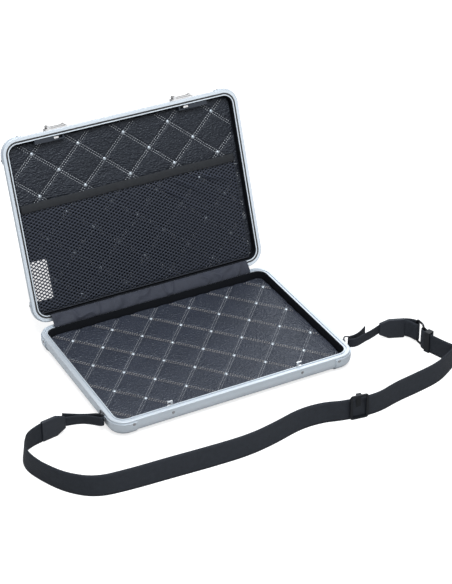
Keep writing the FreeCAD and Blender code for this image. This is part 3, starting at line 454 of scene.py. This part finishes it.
# Stage
class CASE_OT_stage(Operator):
    """Sets up the floor, the lamps, the world and the camera"""
    bl_idname = "laptop_case.stage"
    bl_label = "Stage"

    def execute(self, context):
        scene, stage = context.scene, context.scene.laptop_case_stage
        scene.view_settings.view_transform = "Standard"
        self.world(stage, scene)
        self.floor(stage)
        self.lamps(stage)
        self.camera(stage, scene)
        return {"FINISHED"}

    def world(self, stage, scene):
        """White where the camera sees it, and a plainer level as light."""
        world = scene.world = bpy.data.worlds.new("Studio")
        world.use_nodes = True
        tree = world.node_tree
        rays = node(tree, "LightPath")
        shown = maths(tree, "MAXIMUM", rays["Is Camera Ray"], rays["Is Transmission Ray"])
        extra = maths(tree, "MULTIPLY", shown, 1.0 - stage.world_level)
        fill(tree, tree.nodes["Background"], Color=(1, 1, 1, 1),
             Strength=maths(tree, "ADD", extra, stage.world_level))

    def floor(self, stage):
        """A pale floor that looks white and keeps the case's shadow."""
        bpy.ops.object.select_all(action="DESELECT")
        bpy.ops.mesh.primitive_plane_add(size=stage.floor_size, location=(0, 0, FLOOR_Z))
        floor = bpy.context.object
        floor.name = "floor"
        material, tree = shader("Floor", Roughness=0.9, Base_Color=(0.5, 0.5, 0.5, 1),
                                Emission_Color=(1, 1, 1, 1), Specular_IOR_Level=0.0)
        seen = node(tree, "LightPath")["Is Camera Ray"]
        coat(floor, dressed(material, Emission_Strength=maths(tree, "MULTIPLY", seen, 0.72)))

    def lamps(self, stage):
        for name, power, size, place, target in (
                ("key", stage.key_power, 1.3, (-0.1, -0.55, 2.3), (0, 0, 0.05)),
                ("side", stage.side_power, 1.2, (1.25, 1.8, 1.55), (0.1, -0.05, 0)),
                ("gleam", stage.gleam_power, 0.9, (0.85, -1.75, 0.4), (0, 0.2, 0.15))):
            light = bpy.data.lights.new(name, "AREA")
            light.color = (0.92, 0.96, 1.0)
            light.energy = power
            light.size = size
            lamp = added(name, light)
            lamp.location = place
            lamp.rotation_euler = (Vector(target) - Vector(place)).to_track_quat("-Z", "Y").to_euler()
            lamp.visible_diffuse = name != "gleam"

    def camera(self, stage, scene):
        turn, lift, roll = (radians(part) for part in (stage.azimuth, stage.elevation, stage.roll))
        forward = Vector((sin(turn) * cos(lift), cos(turn) * cos(lift), -sin(lift)))
        right = forward.cross(Vector((0, 0, 1))).normalized()
        up = right.cross(forward)
        across = cos(roll) * right + sin(roll) * up
        upward = cos(roll) * up - sin(roll) * right
        data = bpy.data.cameras.new("camera")
        data.lens, data.clip_start, data.clip_end = stage.lens, 0.1, 30.0
        camera = added("camera", data)
        axes = Matrix((across, upward, -forward)).transposed()
        camera.matrix_world = Matrix.Translation(stage.place) @ axes.to_4x4()
        scene.camera = camera


# Metal and plain finishes on CAD nodes
def paint(material, *names):
    for name in names:
        coat(nodes[name], material)


def halves(*names):
    """The names as they are on the tray and on the lid."""
    return [f"{half}_{name}" for half in ("tray", "lid") for name in names]


def sides(*names):
    """The names as they are on the left and on the right."""
    return [f"{name}_{side}" for name in names for side in ("left", "right")]


class CASE_OT_finishes(Operator):
    """Gives the frames, guards, rivets, hinges, linings and fittings their finishes"""
    bl_idname = "laptop_case.finishes"
    bl_label = "Finishes"

    def execute(self, context):
        tint = colours()
        paint(satin_metal("Anodised frame", tint.aluminium, 0.42, 0.4, 0.45), *halves("frame"))
        paint(satin_metal("Guard metal", lighter(tint.aluminium, 0.97), 0.36, 0.4, 0.5),
              *halves(*sides("guard_front", "guard_rear")))
        paint(satin_metal("Hinge metal", lighter(tint.aluminium, 0.85), 0.36, 0.8),
              "hinge_tray_leaf", "hinge_lid_leaf")
        paint(satin_metal("Steel", (0.34, 0.34, 0.35), 0.28, 0.6), *halves("guard_rivets"),
              "striker_rivets", "strap_lug_rivets", "hinge_tray_rivets", "hinge_lid_rivets", "hinge_pin",
              "latch_pins", "latch_rivets", *sides("strap_lug"))
        paint(satin_metal("Stud nickel", (0.42, 0.46, 0.50), 0.36, 0.3, 0.6), *halves("studs"))
        paint(satin_metal("Polished nickel", (0.60, 0.61, 0.62), 0.26, 0.3, 0.6), *sides("striker"))
        # A darker copy of the strikers' nickel: painted shade on the latch parts, which face the key lamp
        # from above.
        paint(satin_metal("Latch nickel painted shade", (0.46, 0.45, 0.445), 0.28, 0.3, 0.6),
              *sides("latch_catch", "latch_lever", "latch_base"))
        paint(moulded("Lining", tint.lining, 0.72, 700.0, 0.3, 0.25), *halves("liner"))
        paint(moulded("Panel laminate", (0.022, 0.022, 0.025), 0.42, 260.0, 0.35), *halves("panel"))
        paint(moulded("Dark plastic", (0.020, 0.025, 0.034), 0.45, specular=0.35), *sides("latch_housing"))
        paint(moulded("Black plastic", (0.0045, 0.0060, 0.0085), 0.42, specular=0.25),
              "strap_adjuster", "strap_keeper")
        paint(moulded("Seal rubber", (0.02, 0.02, 0.02), 0.6), "lid_seal")
        paint(satin_metal("Gunmetal", (0.06, 0.06, 0.065), 0.3, 0.8), "strap_eye", *sides("strap_ring"))
        return {"FINISHED"}


# Quilting
class Quilt:
    """The stitched lattice of one pad: its box, its face and the direction that it faces."""
    SHOULDER, CROWN = 2.2 * MM, 9 * MM  # how far from a line the face comes out of its dip, and swells
    BEAD = 0.3  # how far the cloth between a line's two rows stands up again, as a share of the dip
    PUCKERS, PUCKER, PUCKER_REACH = 7, 0.16 * MM, 6 * MM  # folds round a stud
    DENT, DENT_REACH = 0.45 * MM, 4.5 * MM  # hollow round a stud
    CARD_GAP, CARD_REACH, CARD_SLOPE = 0.15 * MM, 12 * MM, 0.2  # how the face is pressed down by the card

    def __init__(self, low, high, facing, first, step, slanted, pressed=None):
        self.look = bpy.context.scene.laptop_case_quilt
        self.half = ((high.x - low.x) / 2, (high.y - low.y) / 2)
        self.facing, self.first, self.step = facing, first, step
        self.face, self.back = (high.z, low.z) if facing > 0 else (low.z, high.z)
        self.slanted, self.pressed = slanted, pressed
        self.spacing = step[0] * step[1] / hypot(*step)

    def across(self, x, y, sign):
        """Signed distance from the nearest line of one family."""
        length = hypot(*self.step)
        along = ((x - self.first[0]) * self.step[1] - sign * (y - self.first[1]) * self.step[0]) / length
        return (along + self.spacing / 2) % self.spacing - self.spacing / 2

    def from_stud(self, x, y):
        """Distance and direction from the nearest crossing."""
        corner, middle = np.array([[
            (place - first - shift * step + step / 2) % step - step / 2
            for place, first, step in zip((x, y), self.first, self.step)] for shift in (0, 0.5)])
        dx, dy = np.where(np.hypot(*middle) < np.hypot(*corner), middle, corner)
        return np.hypot(dx, dy), np.arctan2(dy, dx)

    def height(self, x, y):
        """How far the face stands above the CAD face, in its own direction."""
        look = self.look
        lines = []
        for sign in (1, -1):
            t = np.abs(self.across(x, y, sign))
            beyond = np.maximum(t - look.row_gap / 2, 0)
            bead = self.BEAD * np.maximum(1 - (t / (look.row_gap / 2)) ** 2, 0)
            lines.append((np.exp(-(beyond / self.SHOULDER) ** 2) - bead, np.exp(-beyond / self.CROWN)))
        narrow = np.maximum(lines[0][0], lines[1][0])
        wide = 1 - (1 - lines[0][1]) * (1 - lines[1][1])
        away, angle = self.from_stud(x, y)
        pucker = self.PUCKER * np.cos(self.PUCKERS * angle) * np.exp(-away / self.PUCKER_REACH)
        sunk = self.DENT * np.exp(-(away / self.DENT_REACH) ** 2)
        raised = look.swell * (1 - wide) - look.dip * narrow + pucker - sunk
        return np.minimum(raised, self.room(x, y))

    def room(self, x, y):
        """The most that the face may stand up: nothing behind the card, and freely away from it."""
        if self.pressed is None:
            return np.full_like(x, self.look.swell * 2)
        low, high = self.pressed
        away = np.maximum(np.maximum(low.x - x, x - high.x), np.maximum(low.y - y, y - high.y))
        return np.clip(away, 0, self.CARD_REACH) * self.CARD_SLOPE - self.CARD_GAP

    def edge_drop(self, x, y):
        """How far the face falls away at the pad's rounded edge."""
        edge, corner = self.look.edge, self.look.corner
        inside = np.minimum(self.half[0] - np.abs(x), self.half[1] - np.abs(y))
        ax, ay = np.abs(x) - (self.half[0] - corner), np.abs(y) - (self.half[1] - corner)
        rounded = corner - np.hypot(np.maximum(ax, 0), np.maximum(ay, 0))
        short = np.clip(edge - np.where((ax > 0) & (ay > 0), rounded, inside), 0, edge)
        return edge - np.sqrt(np.maximum(edge ** 2 - short ** 2, 0))

    def surface(self, x, y):
        return self.face + self.facing * (self.height(x, y) - self.edge_drop(x, y))


def pad_piece(name, quilt):
    """A crowned, quilted pad with rounded corners and edge, closed at its back."""
    (hx, hy), cell, corner = quilt.half, quilt.look.cell, quilt.look.corner
    bpy.ops.object.select_all(action="DESELECT")
    bpy.ops.mesh.primitive_grid_add(
        x_subdivisions=int(2 * hx / cell), y_subdivisions=int(2 * hy / cell), size=2)
    pad = bpy.context.object
    pad.name = name
    places = np.zeros(len(pad.data.vertices) * 3)
    pad.data.vertices.foreach_get("co", places)
    places = places.reshape(-1, 3)
    x, y = places[:, 0] * hx, places[:, 1] * hy
    ax, ay = (np.abs(x) - (hx - corner)) / corner, (np.abs(y) - (hy - corner)) / corner

    def rounded(own, other):
        return np.where((ax > 0) & (ay > 0), own * np.sqrt(np.maximum(1 - other ** 2 / 2, 0)), own)

    x = np.sign(x) * (hx - corner + rounded(ax, ay) * corner)
    y = np.sign(y) * (hy - corner + rounded(ay, ax) * corner)
    pad.data.vertices.foreach_set("co", np.stack([x, y, quilt.surface(x, y)], axis=1).ravel())
    bpy.ops.object.mode_set(mode="EDIT")
    bpy.ops.mesh.select_mode(type="EDGE")
    bpy.ops.mesh.select_all(action="DESELECT")
    bpy.ops.mesh.select_non_manifold()
    bpy.ops.mesh.extrude_region_move()
    bpy.ops.object.mode_set(mode="OBJECT")
    for vertex in pad.data.vertices:
        if vertex.select:
            vertex.co.z = quilt.back
    bpy.ops.object.mode_set(mode="EDIT")
    bpy.ops.mesh.edge_face_add()
    bpy.ops.mesh.select_all(action="SELECT")
    bpy.ops.mesh.normals_make_consistent(inside=False)
    bpy.ops.object.mode_set(mode="OBJECT")
    pad.data.shade_smooth()
    return pad


def stitch_rows(quilt, margin):
    """Both rows of every stitched line inside the pad: start, direction, length and family."""
    sx, sy = quilt.step
    length = hypot(sx, sy)
    reach = hypot(*quilt.half) + length
    lines = int(2 * reach / quilt.spacing)
    rows = []
    for sign in (1, -1):
        along, side = Vector((sx, sign * sy)) / length, Vector((sy, -sign * sx)) / length
        for k in range(-lines, lines + 1):
            for row in (-0.5, 0.5):
                middle = Vector(quilt.first) + side * (k * quilt.spacing + row * quilt.look.row_gap)
                low, high = -reach, reach
                for place, part, half in zip(middle, along, quilt.half):
                    first, last = sorted((end - place) / part for end in (margin - half, half - margin))
                    low, high = max(low, first), min(high, last)
                if high - low > 2 * quilt.look.stitch_pitch:
                    rows.append((middle + along * low, along, high - low, sign))
    return rows


def stitching(name, quilt):
    """Every stitch of a pad as a short rounded cord whose ends dip into the cloth."""
    look = quilt.look
    around, rings = 6, 5
    tube = tube_faces(rings, around)
    vertices, faces, families = [], [], []
    for start, along, length, family in stitch_rows(quilt, 2.5 * MM):
        thread = along.copy()
        thread.rotate(Matrix.Rotation(look.slant if family == quilt.slanted else 0, 2))
        side = Vector((-thread.y, thread.x))
        for k in range(int(length / look.stitch_pitch)):
            centre = start + along * ((k + 0.5) * look.stitch_pitch)
            spot = np.array([centre.x]), np.array([centre.y])
            away, _angle = quilt.from_stud(*spot)
            # No stitch under a stud, on the rounded edge or behind the card
            if away[0] < 3.6 * MM or quilt.edge_drop(*spot)[0] > 0.3 * MM or quilt.room(*spot)[0] < 0:
                continue
            middle = float(quilt.surface(*spot)[0])
            faces += [tuple(len(vertices) + corner for corner in face) for face in tube]
            for station in np.linspace(-1, 1, rings):
                radius = look.thread / 2 * sqrt(max(1 - 0.8 * station ** 2, 0))
                sink = 0.3 * look.thread - 0.85 * look.thread * station ** 2
                for s in range(around):
                    angle = tau * s / around
                    out = thread * (station * look.stitch / 2) + side * (radius * cos(angle))
                    vertices.append((*(centre + out), middle + quilt.facing * (sink + radius * sin(angle))))
            families += [family] * (around * rings)
    piece = mesh_piece(name, vertices, faces)
    uv_map(piece, lambda k: (0.25 if families[k] == quilt.slanted else 0.75, 0.5))
    return piece


class CASE_OT_pads(Operator):
    """Models the quilted pads of the tray and the lid with their stitching"""
    bl_idname = "laptop_case.pads"
    bl_label = "Quilted pads"

    def execute(self, context):
        tint = colours()
        # One leatherette colour for both pads, painted 1.75 times lighter on the tray and 0.8 times as light
        # on the lid: lit and shaded copies of one material, as painted light and painted shade.
        self.pad("tray", Quilt(
            *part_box("tray_pad"), 1, (9.5 * MM, -8.5 * MM), (64.7 * MM, 74.4 * MM), -1),
            leather("Tray leatherette painted light", lighter(tint.leatherette, 1.75), 380.0, 0.32, 1.7 * MM, 0.3),
            thread_material("Tray thread", tint.thread, (0.44, 0.45, 0.47)))
        self.pad("lid", Quilt(
            *shut_box("lid_pad"), -1, (2.0 * MM, -46.0 * MM), (74.4 * MM, 64.7 * MM), 0, card_box()),
            leather("Lid leatherette painted shade", lighter(tint.leatherette, 0.8), 480.0, 0.36, 1.6 * MM, 1.2, 1.7, 0.4),
            thread_material("Lid thread", (0.64, 0.66, 0.69), (0.64, 0.66, 0.69)))
        return {"FINISHED"}

    def pad(self, half, quilt, leatherette, thread):
        pad = pad_piece(f"{half}_quilted_pad", quilt)
        finished(pad, half, "leatherette", leatherette, f"{half}_pad")
        finished(stitching(f"{half}_pad_stitching", quilt), half, "leatherette", thread)


# Pocket
class CASE_OT_pocket(Operator):
    """Models the net pocket: the knitted net, its hem, the elastic band and the card"""
    bl_idname = "laptop_case.pocket"
    bl_label = "Pocket"

    across: FloatProperty(
        name="Across", description="From one column of holes to the next", unit="LENGTH", default=4.25 * MM)
    along: FloatProperty(
        name="Along", description="From hole to hole in a column", unit="LENGTH", default=5.4 * MM)
    hole_wide: FloatProperty(
        name="Hole width", description="Share of a cell's width that is open", default=0.83)
    hole_tall: FloatProperty(
        name="Hole height", description="Share of a cell's height that is open", default=0.54)

    # Slack folds of the net: middle's x and y, slope, width, height and reach, all but the slope in mm
    FOLDS = ((63, -2, 0.77, 2.8, 2.6, 20), (90, -8, 0.67, 2.8, 2.4, 22), (132, -12, 0.32, 3.0, 2.4, 28),
             (97, 28, 0.57, 3.2, 1.4, 16), (118, -17, 0.45, 2.8, 1.6, 20))

    def execute(self, context):
        self.net()
        self.elastic()
        self.card()
        return {"FINISHED"}

    def sag(self, x, y, low, high):
        """How far the net stands out from its plane: a slow belly and a few slack folds."""
        u = (x - low.x) / (high.x - low.x)
        v = (y - low.y) / (high.y - low.y)
        out = 0.9 * MM * sin(pi * u) * sin(pi * min(max(v, 0), 1)) ** 0.7
        for cx, cy, slope, width, size, reach in self.FOLDS:
            dx, dy = x / MM - cx, y / MM - cy
            off = (dy - slope * dx) / hypot(1, slope)
            out += size * MM * exp(-(off / width) ** 2 - (dx / reach) ** 2)
        return out

    def net(self):
        """A sheet of six-sided cells, each with its hole, cut off straight at the pocket's edges."""
        low, high = shut_box("pocket_net")
        low.x, high.y = low.x - 3.2 * MM, high.y + 6.8 * MM
        across, along = self.across, self.along
        flat, faces, corners = [], [], {}

        def corner(x, y):
            key = (round(x / (0.01 * MM)), round(y / (0.01 * MM)))
            if key not in corners:
                corners[key] = len(flat)
                flat.append((x, y))
            return corners[key]

        shape = [(dx * across / 3, dy * along / 2)
                 for dx, dy in ((2, 0), (1, 1), (-1, 1), (-2, 0), (-1, -1), (1, -1))]
        for column in range(int((high.x - low.x) / across)):
            for row in range(int((high.y - low.y) / along)):
                x = low.x + (column + 0.5) * across
                y = low.y + (row + 0.5 + (column % 2) / 2) * along
                ring = [corner(x + dx, y + dy) for dx, dy in shape]
                hole = range(len(flat), len(flat) + 6)
                flat += [(x + dx * self.hole_wide, y + dy * self.hole_tall) for dx, dy in shape]
                faces += [(ring[k], ring[k - 5], hole[k - 5], hole[k]) for k in range(6)]
        plane = low.z + 0.9 * MM
        net = mesh_piece("pocket_net_cloth", [
            (min(max(x, low.x), high.x), min(max(y, low.y), high.y), plane - self.sag(x, y, low, high))
            for x, y in flat], faces, False)
        modified(net, "SOLIDIFY", thickness=0.95 * MM, offset=0)
        net.data.shade_smooth()
        finished(net, "lid", "net_cloth", moulded("Net cord", colours().net, 0.5, 3000.0, 0.3, 0.35),
                 "pocket_net")
        self.hem(low, high)

    def hem(self, low, high):
        """A narrow folded edge that sews the net to the pad on three sides."""
        path = ((low.x, low.y, 1, 0), (low.x, high.y, 1, -1), (high.x, high.y, -1, -1),
                (high.x, low.y, -1, 0))
        width, fold, top, bottom = 1.8 * MM, 0.5 * MM, low.z + 0.7 * MM, high.z
        profile = [(0, bottom), (0, top + fold), (fold, top), (width - fold, top), (width, top + fold),
                   (width, bottom)]
        vertices = [(x + in_x * across, y + in_y * across, z) for x, y, in_x, in_y in path
                    for across, z in profile]
        hem = mesh_piece("pocket_hem", vertices, tube_faces(len(path), len(profile)), False)
        outward(hem)
        finished(hem, "lid", "net_cloth", moulded("Hem tape", lighter(colours().net, 0.5), 0.7, 900.0, 0.4))

    def elastic(self):
        """A ribbed band with rounded long edges, a little wavy where the slack net pulls on it."""
        low, high = shut_box("pocket_elastic")
        stations, ring = 220, 10
        width, thick = high.y - low.y, 1.5 * MM
        vertices = []
        for i in range(stations):
            x = low.x + i / (stations - 1) * (high.x - low.x)
            wave = 0.5 * MM * noise.noise(Vector((x * 14, 0.3, 0))) + 0.35 * MM * sin(60 * x)
            lift = 0.5 * MM * noise.noise(Vector((x * 20, 7.1, 0)))
            for k in range(ring):
                angle = tau * (k + 0.5) / ring
                y = copysign(abs(cos(angle)) ** 0.35, cos(angle)) * width / 2
                z = copysign(abs(sin(angle)) ** 0.8, sin(angle)) * thick / 2
                vertices.append((x, (low.y + high.y) / 2 + y + wave * 0.6, low.z + 0.6 * MM + z - lift))
        band = mesh_piece("pocket_elastic_band", vertices, tube_faces(stations, ring))
        outward(band)
        uv_map(band, lambda k: band.data.vertices[k].co.xy)
        finished(band, "lid", "elastic", cloth("Elastic", colours().elastic, 0.75, 260.0, 1100.0, 0.5),
                 "pocket_elastic")

    def card(self):
        low, high = card_box()
        bpy.ops.object.select_all(action="DESELECT")
        bpy.ops.mesh.primitive_cube_add(size=1, location=(low + high) / 2, scale=high - low)
        card = bpy.context.object
        card.name = "pocket_white_card"
        bpy.ops.object.transform_apply(location=True, rotation=False, scale=True)
        modified(card, "BEVEL", width=0.1 * MM, segments=2)
        # The card glows a little: painted light that keeps it bright white behind the net's shadowing cords.
        white = dressed(moulded("Card", (0.9, 0.9, 0.9), 0.55, 500.0, 0.1),
                        Emission_Color=(1, 1, 1, 1), Emission_Strength=0.6)
        finished(card, "lid", "card", white, "pocket_card")


# Gusset
class CASE_OT_gusset(Operator):
    """Models the creased cloth that covers the hinge from the tray to the lid"""
    bl_idname = "laptop_case.gusset"
    bl_label = "Gusset"

    def execute(self, context):
        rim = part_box("tray_frame")[1].z
        low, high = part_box("hinge_gusset")
        low.x, high.x = low.x - 3.5 * MM, high.x - 1.0 * MM
        start = Vector((0, low.y + 1.5 * MM, rim - 0.6 * MM))
        on_tray = Vector((0, low.y + 1.1 * MM, rim + 2.6 * MM))
        lid_rim = shut_box("lid_frame")[0].z
        on_lid = LID_TURN @ Vector((0, low.y + 1.1 * MM, lid_rim - 2.8 * MM))
        end = LID_TURN @ Vector((0, low.y + 1.7 * MM, lid_rim - 0.2 * MM))
        middle = (on_tray + on_lid) / 2
        half, columns = 15, 420
        steps, section = 2 * half, [start]
        for first, second, third in ((start, on_tray, middle), (middle, on_lid, end)):
            for i in range(1, half + 1):
                t = i / half
                section.append(first * (1 - t) ** 2 + second * 2 * t * (1 - t) + third * t ** 2)
        length = sum((b - a).length for a, b in zip(section, section[1:]))
        vertices = []
        for i, place in enumerate(section):
            following = section[min(i + 1, steps)] - section[max(i - 1, 0)]
            normal = Vector((1, 0, 0)).cross(following).normalized()
            if normal.y > 0:
                normal = -normal
            for j in range(columns + 1):
                x = low.x + j / columns * (high.x - low.x)
                from_seam = min(x - low.x, high.x - x) - 6.5 * MM
                seam = 0.5 * MM * exp(-(from_seam / (0.7 * MM)) ** 2)
                vertices.append(Vector((x, place.y, place.z)) + normal * (self.crease(x, i / steps) - seam))
        gusset = mesh_piece("hinge_gusset_cloth", vertices, grid_faces(steps + 1, columns + 1))
        uv_map(gusset, lambda k: (k % (columns + 1) / columns * (high.x - low.x),
                                  k // (columns + 1) / steps * length))
        modified(gusset, "SOLIDIFY", thickness=0.6 * MM)
        gusset.data.shade_smooth()
        finished(gusset, None, "gusset_cloth",
                 cloth("Gusset cloth", colours().gusset, 0.62, 1500.0, 1500.0, 0.25, 0.15), "hinge_gusset")
        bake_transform(gusset)
        return {"FINISHED"}

    def crease(self, x, v):
        """Slanting creases across the cloth, sharp and soft ones, that die away at both rims."""
        slanted = x + 0.012 * (0.5 - v)
        sharp = 1 - abs(noise.noise(Vector((slanted * 40, v * 0.9, 2.7)))) * 4.5
        soft = noise.noise(Vector((slanted * 24, v * 1.6, 9.1)))
        lively = sin(pi * min(max(v, 0), 1)) ** 0.5
        return lively * (2.2 * MM * max(sharp, 0) ** 1.5 + 1.7 * MM * soft)


# Strap
def route_line(name, route, height, spacing):
    """Evenly spaced places and leans along the smooth line that has the route as its controls."""
    curve = bpy.data.curves.new(name, "CURVE")
    curve.dimensions = "3D"
    spline = curve.splines.new("NURBS")
    spline.points.add(len(route) - 1)
    for control, (x, y, _lean) in zip(spline.points, route):
        control.co = (x, y, FLOOR_Z + height, 1)
    spline.order_u, spline.use_endpoint_u, spline.resolution_u = 3, True, 12
    holder = added(name, curve)
    mesh = bpy.data.meshes.new_from_object(holder)
    line = np.array([vertex.co[:] for vertex in mesh.vertices])
    bpy.data.objects.remove(holder)
    bpy.data.meshes.remove(mesh)
    bpy.data.curves.remove(curve)
    travelled = np.cumsum(np.linalg.norm(np.diff(line, axis=0, prepend=line[:1]), axis=1))
    even = np.linspace(0, travelled[-1], int(travelled[-1] / spacing) + 1)
    places = np.stack([np.interp(even, travelled, line[:, axis]) for axis in range(3)], axis=1)
    nearest = [travelled[np.argmin(np.hypot(line[:, 0] - x, line[:, 1] - y))] for x, y, _lean in route]
    nearest = np.maximum.accumulate(nearest) + np.arange(len(route)) * 1e-9
    leans = np.radians(np.interp(even, nearest, [lean for _x, _y, lean in route]))
    return places, leans, travelled[-1]


def band_piece(name, route, width, thick, bottom, spacing, ripple=0.0):
    """A flat band on its edge along a route, with rounded selvedges; gives it, its line and its length."""
    places, leans, length = route_line(name, route, bottom + width / 2, spacing)
    tangents = np.gradient(places, axis=0)
    tangents /= np.linalg.norm(tangents, axis=1)[:, None]
    upright, half, rows = np.array([0, 0, 1.0]), width / 2, 9
    profile = [(side * (1 - 2 * k / (rows - 1)), side) for side in (1, -1) for k in range(rows)]
    vertices, centres = [], []
    for i, (place, lean) in enumerate(zip(places, leans)):
        across = np.array([-tangents[i][1], tangents[i][0], 0])
        upward = cos(lean) * upright + sin(lean) * across
        sideways = cos(lean) * across - sin(lean) * upright
        centre = place - upright * half + upward * half
        centres.append(centre)
        for h, side in profile:
            edge = thick / 2 * (1 if abs(h) < 0.99 else 0.55)
            cup = ripple * sin(i * spacing * 38) * (1 - h * h)
            vertices.append(centre + upward * (h * half) + sideways * (side * edge + cup))
    ring = len(profile)
    piece = mesh_piece(name, vertices, tube_faces(len(places), ring))
    uv_map(piece, lambda k: (k // ring * spacing, profile[k % ring][0] * half))
    return piece, centres, length


class CASE_OT_strap(Operator):
    """Models the shoulder strap: webbing, end straps and tabs"""
    bl_idname = "laptop_case.strap"
    bl_label = "Shoulder strap"

    def execute(self, context):
        webbing, centres, length = band_piece(
            "strap_webbing_band", WEBBING_ROUTE, width=32 * MM, thick=1.6 * MM, bottom=0,
            spacing=2.5 * MM, ripple=0.2 * MM)
        self.woven(webbing, "tray", "Webbing", "strap_webbing_long")
        short, _line, _length = band_piece(
            "strap_webbing_loop", SHORT_ROUTE, width=29 * MM, thick=1.5 * MM, bottom=3.4 * MM, spacing=1 * MM)
        self.woven(short, "tray", "Loop webbing", "strap_webbing_short")
        left = self.tab("strap_tab_left", "strap_connector_left", (-0.2850, -0.0950), (-0.2470, -0.0885))
        right = self.tab("strap_tab_right", "strap_connector_right", (0.2978, -0.1086), (0.2620, -0.0940))
        for side, route, tab in (("left", LEFT_END_ROUTE, left), ("right", RIGHT_END_ROUTE, right)):
            band, line, long = band_piece(
                f"strap_end_{side}", route, width=15 * MM, thick=1.4 * MM, bottom=9.5 * MM, spacing=1 * MM)
            self.woven(band, None, f"End strap {side}", f"strap_narrow_{side}")
            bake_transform(band)
        return {"FINISHED"}

    def woven(self, piece, body, name, cad):
        finished(piece, body, "webbing", cloth(name, colours().webbing, 0.7, 420.0, 700.0, 0.45), cad)

    def tab(self, name, cad, wide, narrow):
        """A flat tab, wide at the webbing and narrowed at the end strap, with rolled edges."""
        start, end = Vector((*wide, FLOOR_Z)), Vector((*narrow, FLOOR_Z))
        length = (end - start).length
        bottom, top, thick, nose, middle = 0.6 * MM, 33 * MM, 5.2 * MM, 19 * MM, 17 * MM
        straight = 0.62 * length
        outline = [(0, bottom), (straight, bottom), (length, middle - nose / 2),
                   (length, middle + nose / 2), (straight, top), (0, top)]
        vertices = [(x, side * thick / 2, z) for side in (-1, 1) for x, z in outline]
        tab = mesh_piece(name, vertices, tube_faces(2, len(outline)), False)
        outward(tab)
        modified(tab, "BEVEL", width=1.3 * MM, segments=4, limit_method="ANGLE")
        tab.data.shade_smooth()
        angle = atan2(end.y - start.y, end.x - start.x)
        tab.data.transform(Matrix.Translation(start) @ Matrix.Rotation(angle, 4, "Z"))
        finished(tab, "tray", "connector_plastic",
                 leather(f"Tab {name}", colours().tab, 900.0, 0.42, 0.2 * MM), cad)
        return tab


class CASE_PT_panel(Panel):
    """Lists the steps that dress the case"""
    bl_idname = "CASE_PT_panel"
    bl_label = "Laptop case"
    bl_space_type = "VIEW_3D"
    bl_region_type = "UI"
    bl_category = "Laptop case"

    def draw(self, context):
        for step in STEPS:
            self.layout.operator(step.bl_idname)


STEPS = (CASE_OT_stage, CASE_OT_finishes, CASE_OT_strap, CASE_OT_pads, CASE_OT_pocket, CASE_OT_gusset)
GROUPS = (("laptop_case_stage", CaseStageSettings), ("laptop_case_colours", CaseColours),
          ("laptop_case_quilt", CaseQuilt))


def register():
    for name, group in GROUPS:
        bpy.utils.register_class(group)
        setattr(bpy.types.Scene, name, PointerProperty(type=group))
    for step in (*STEPS, CASE_PT_panel):
        bpy.utils.register_class(step)


def unregister():
    for step in (*STEPS, CASE_PT_panel):
        bpy.utils.unregister_class(step)
    for name, group in GROUPS:
        delattr(bpy.types.Scene, name)
        bpy.utils.unregister_class(group)


def main():
    """Dresses the whole case."""
    register()
    bpy.ops.laptop_case.stage()
    bpy.ops.laptop_case.finishes()
    bpy.ops.laptop_case.strap()
    bpy.ops.laptop_case.pads()
    bpy.ops.laptop_case.pocket()
    bpy.ops.laptop_case.gusset()


if __name__ == "__main__":
    main()
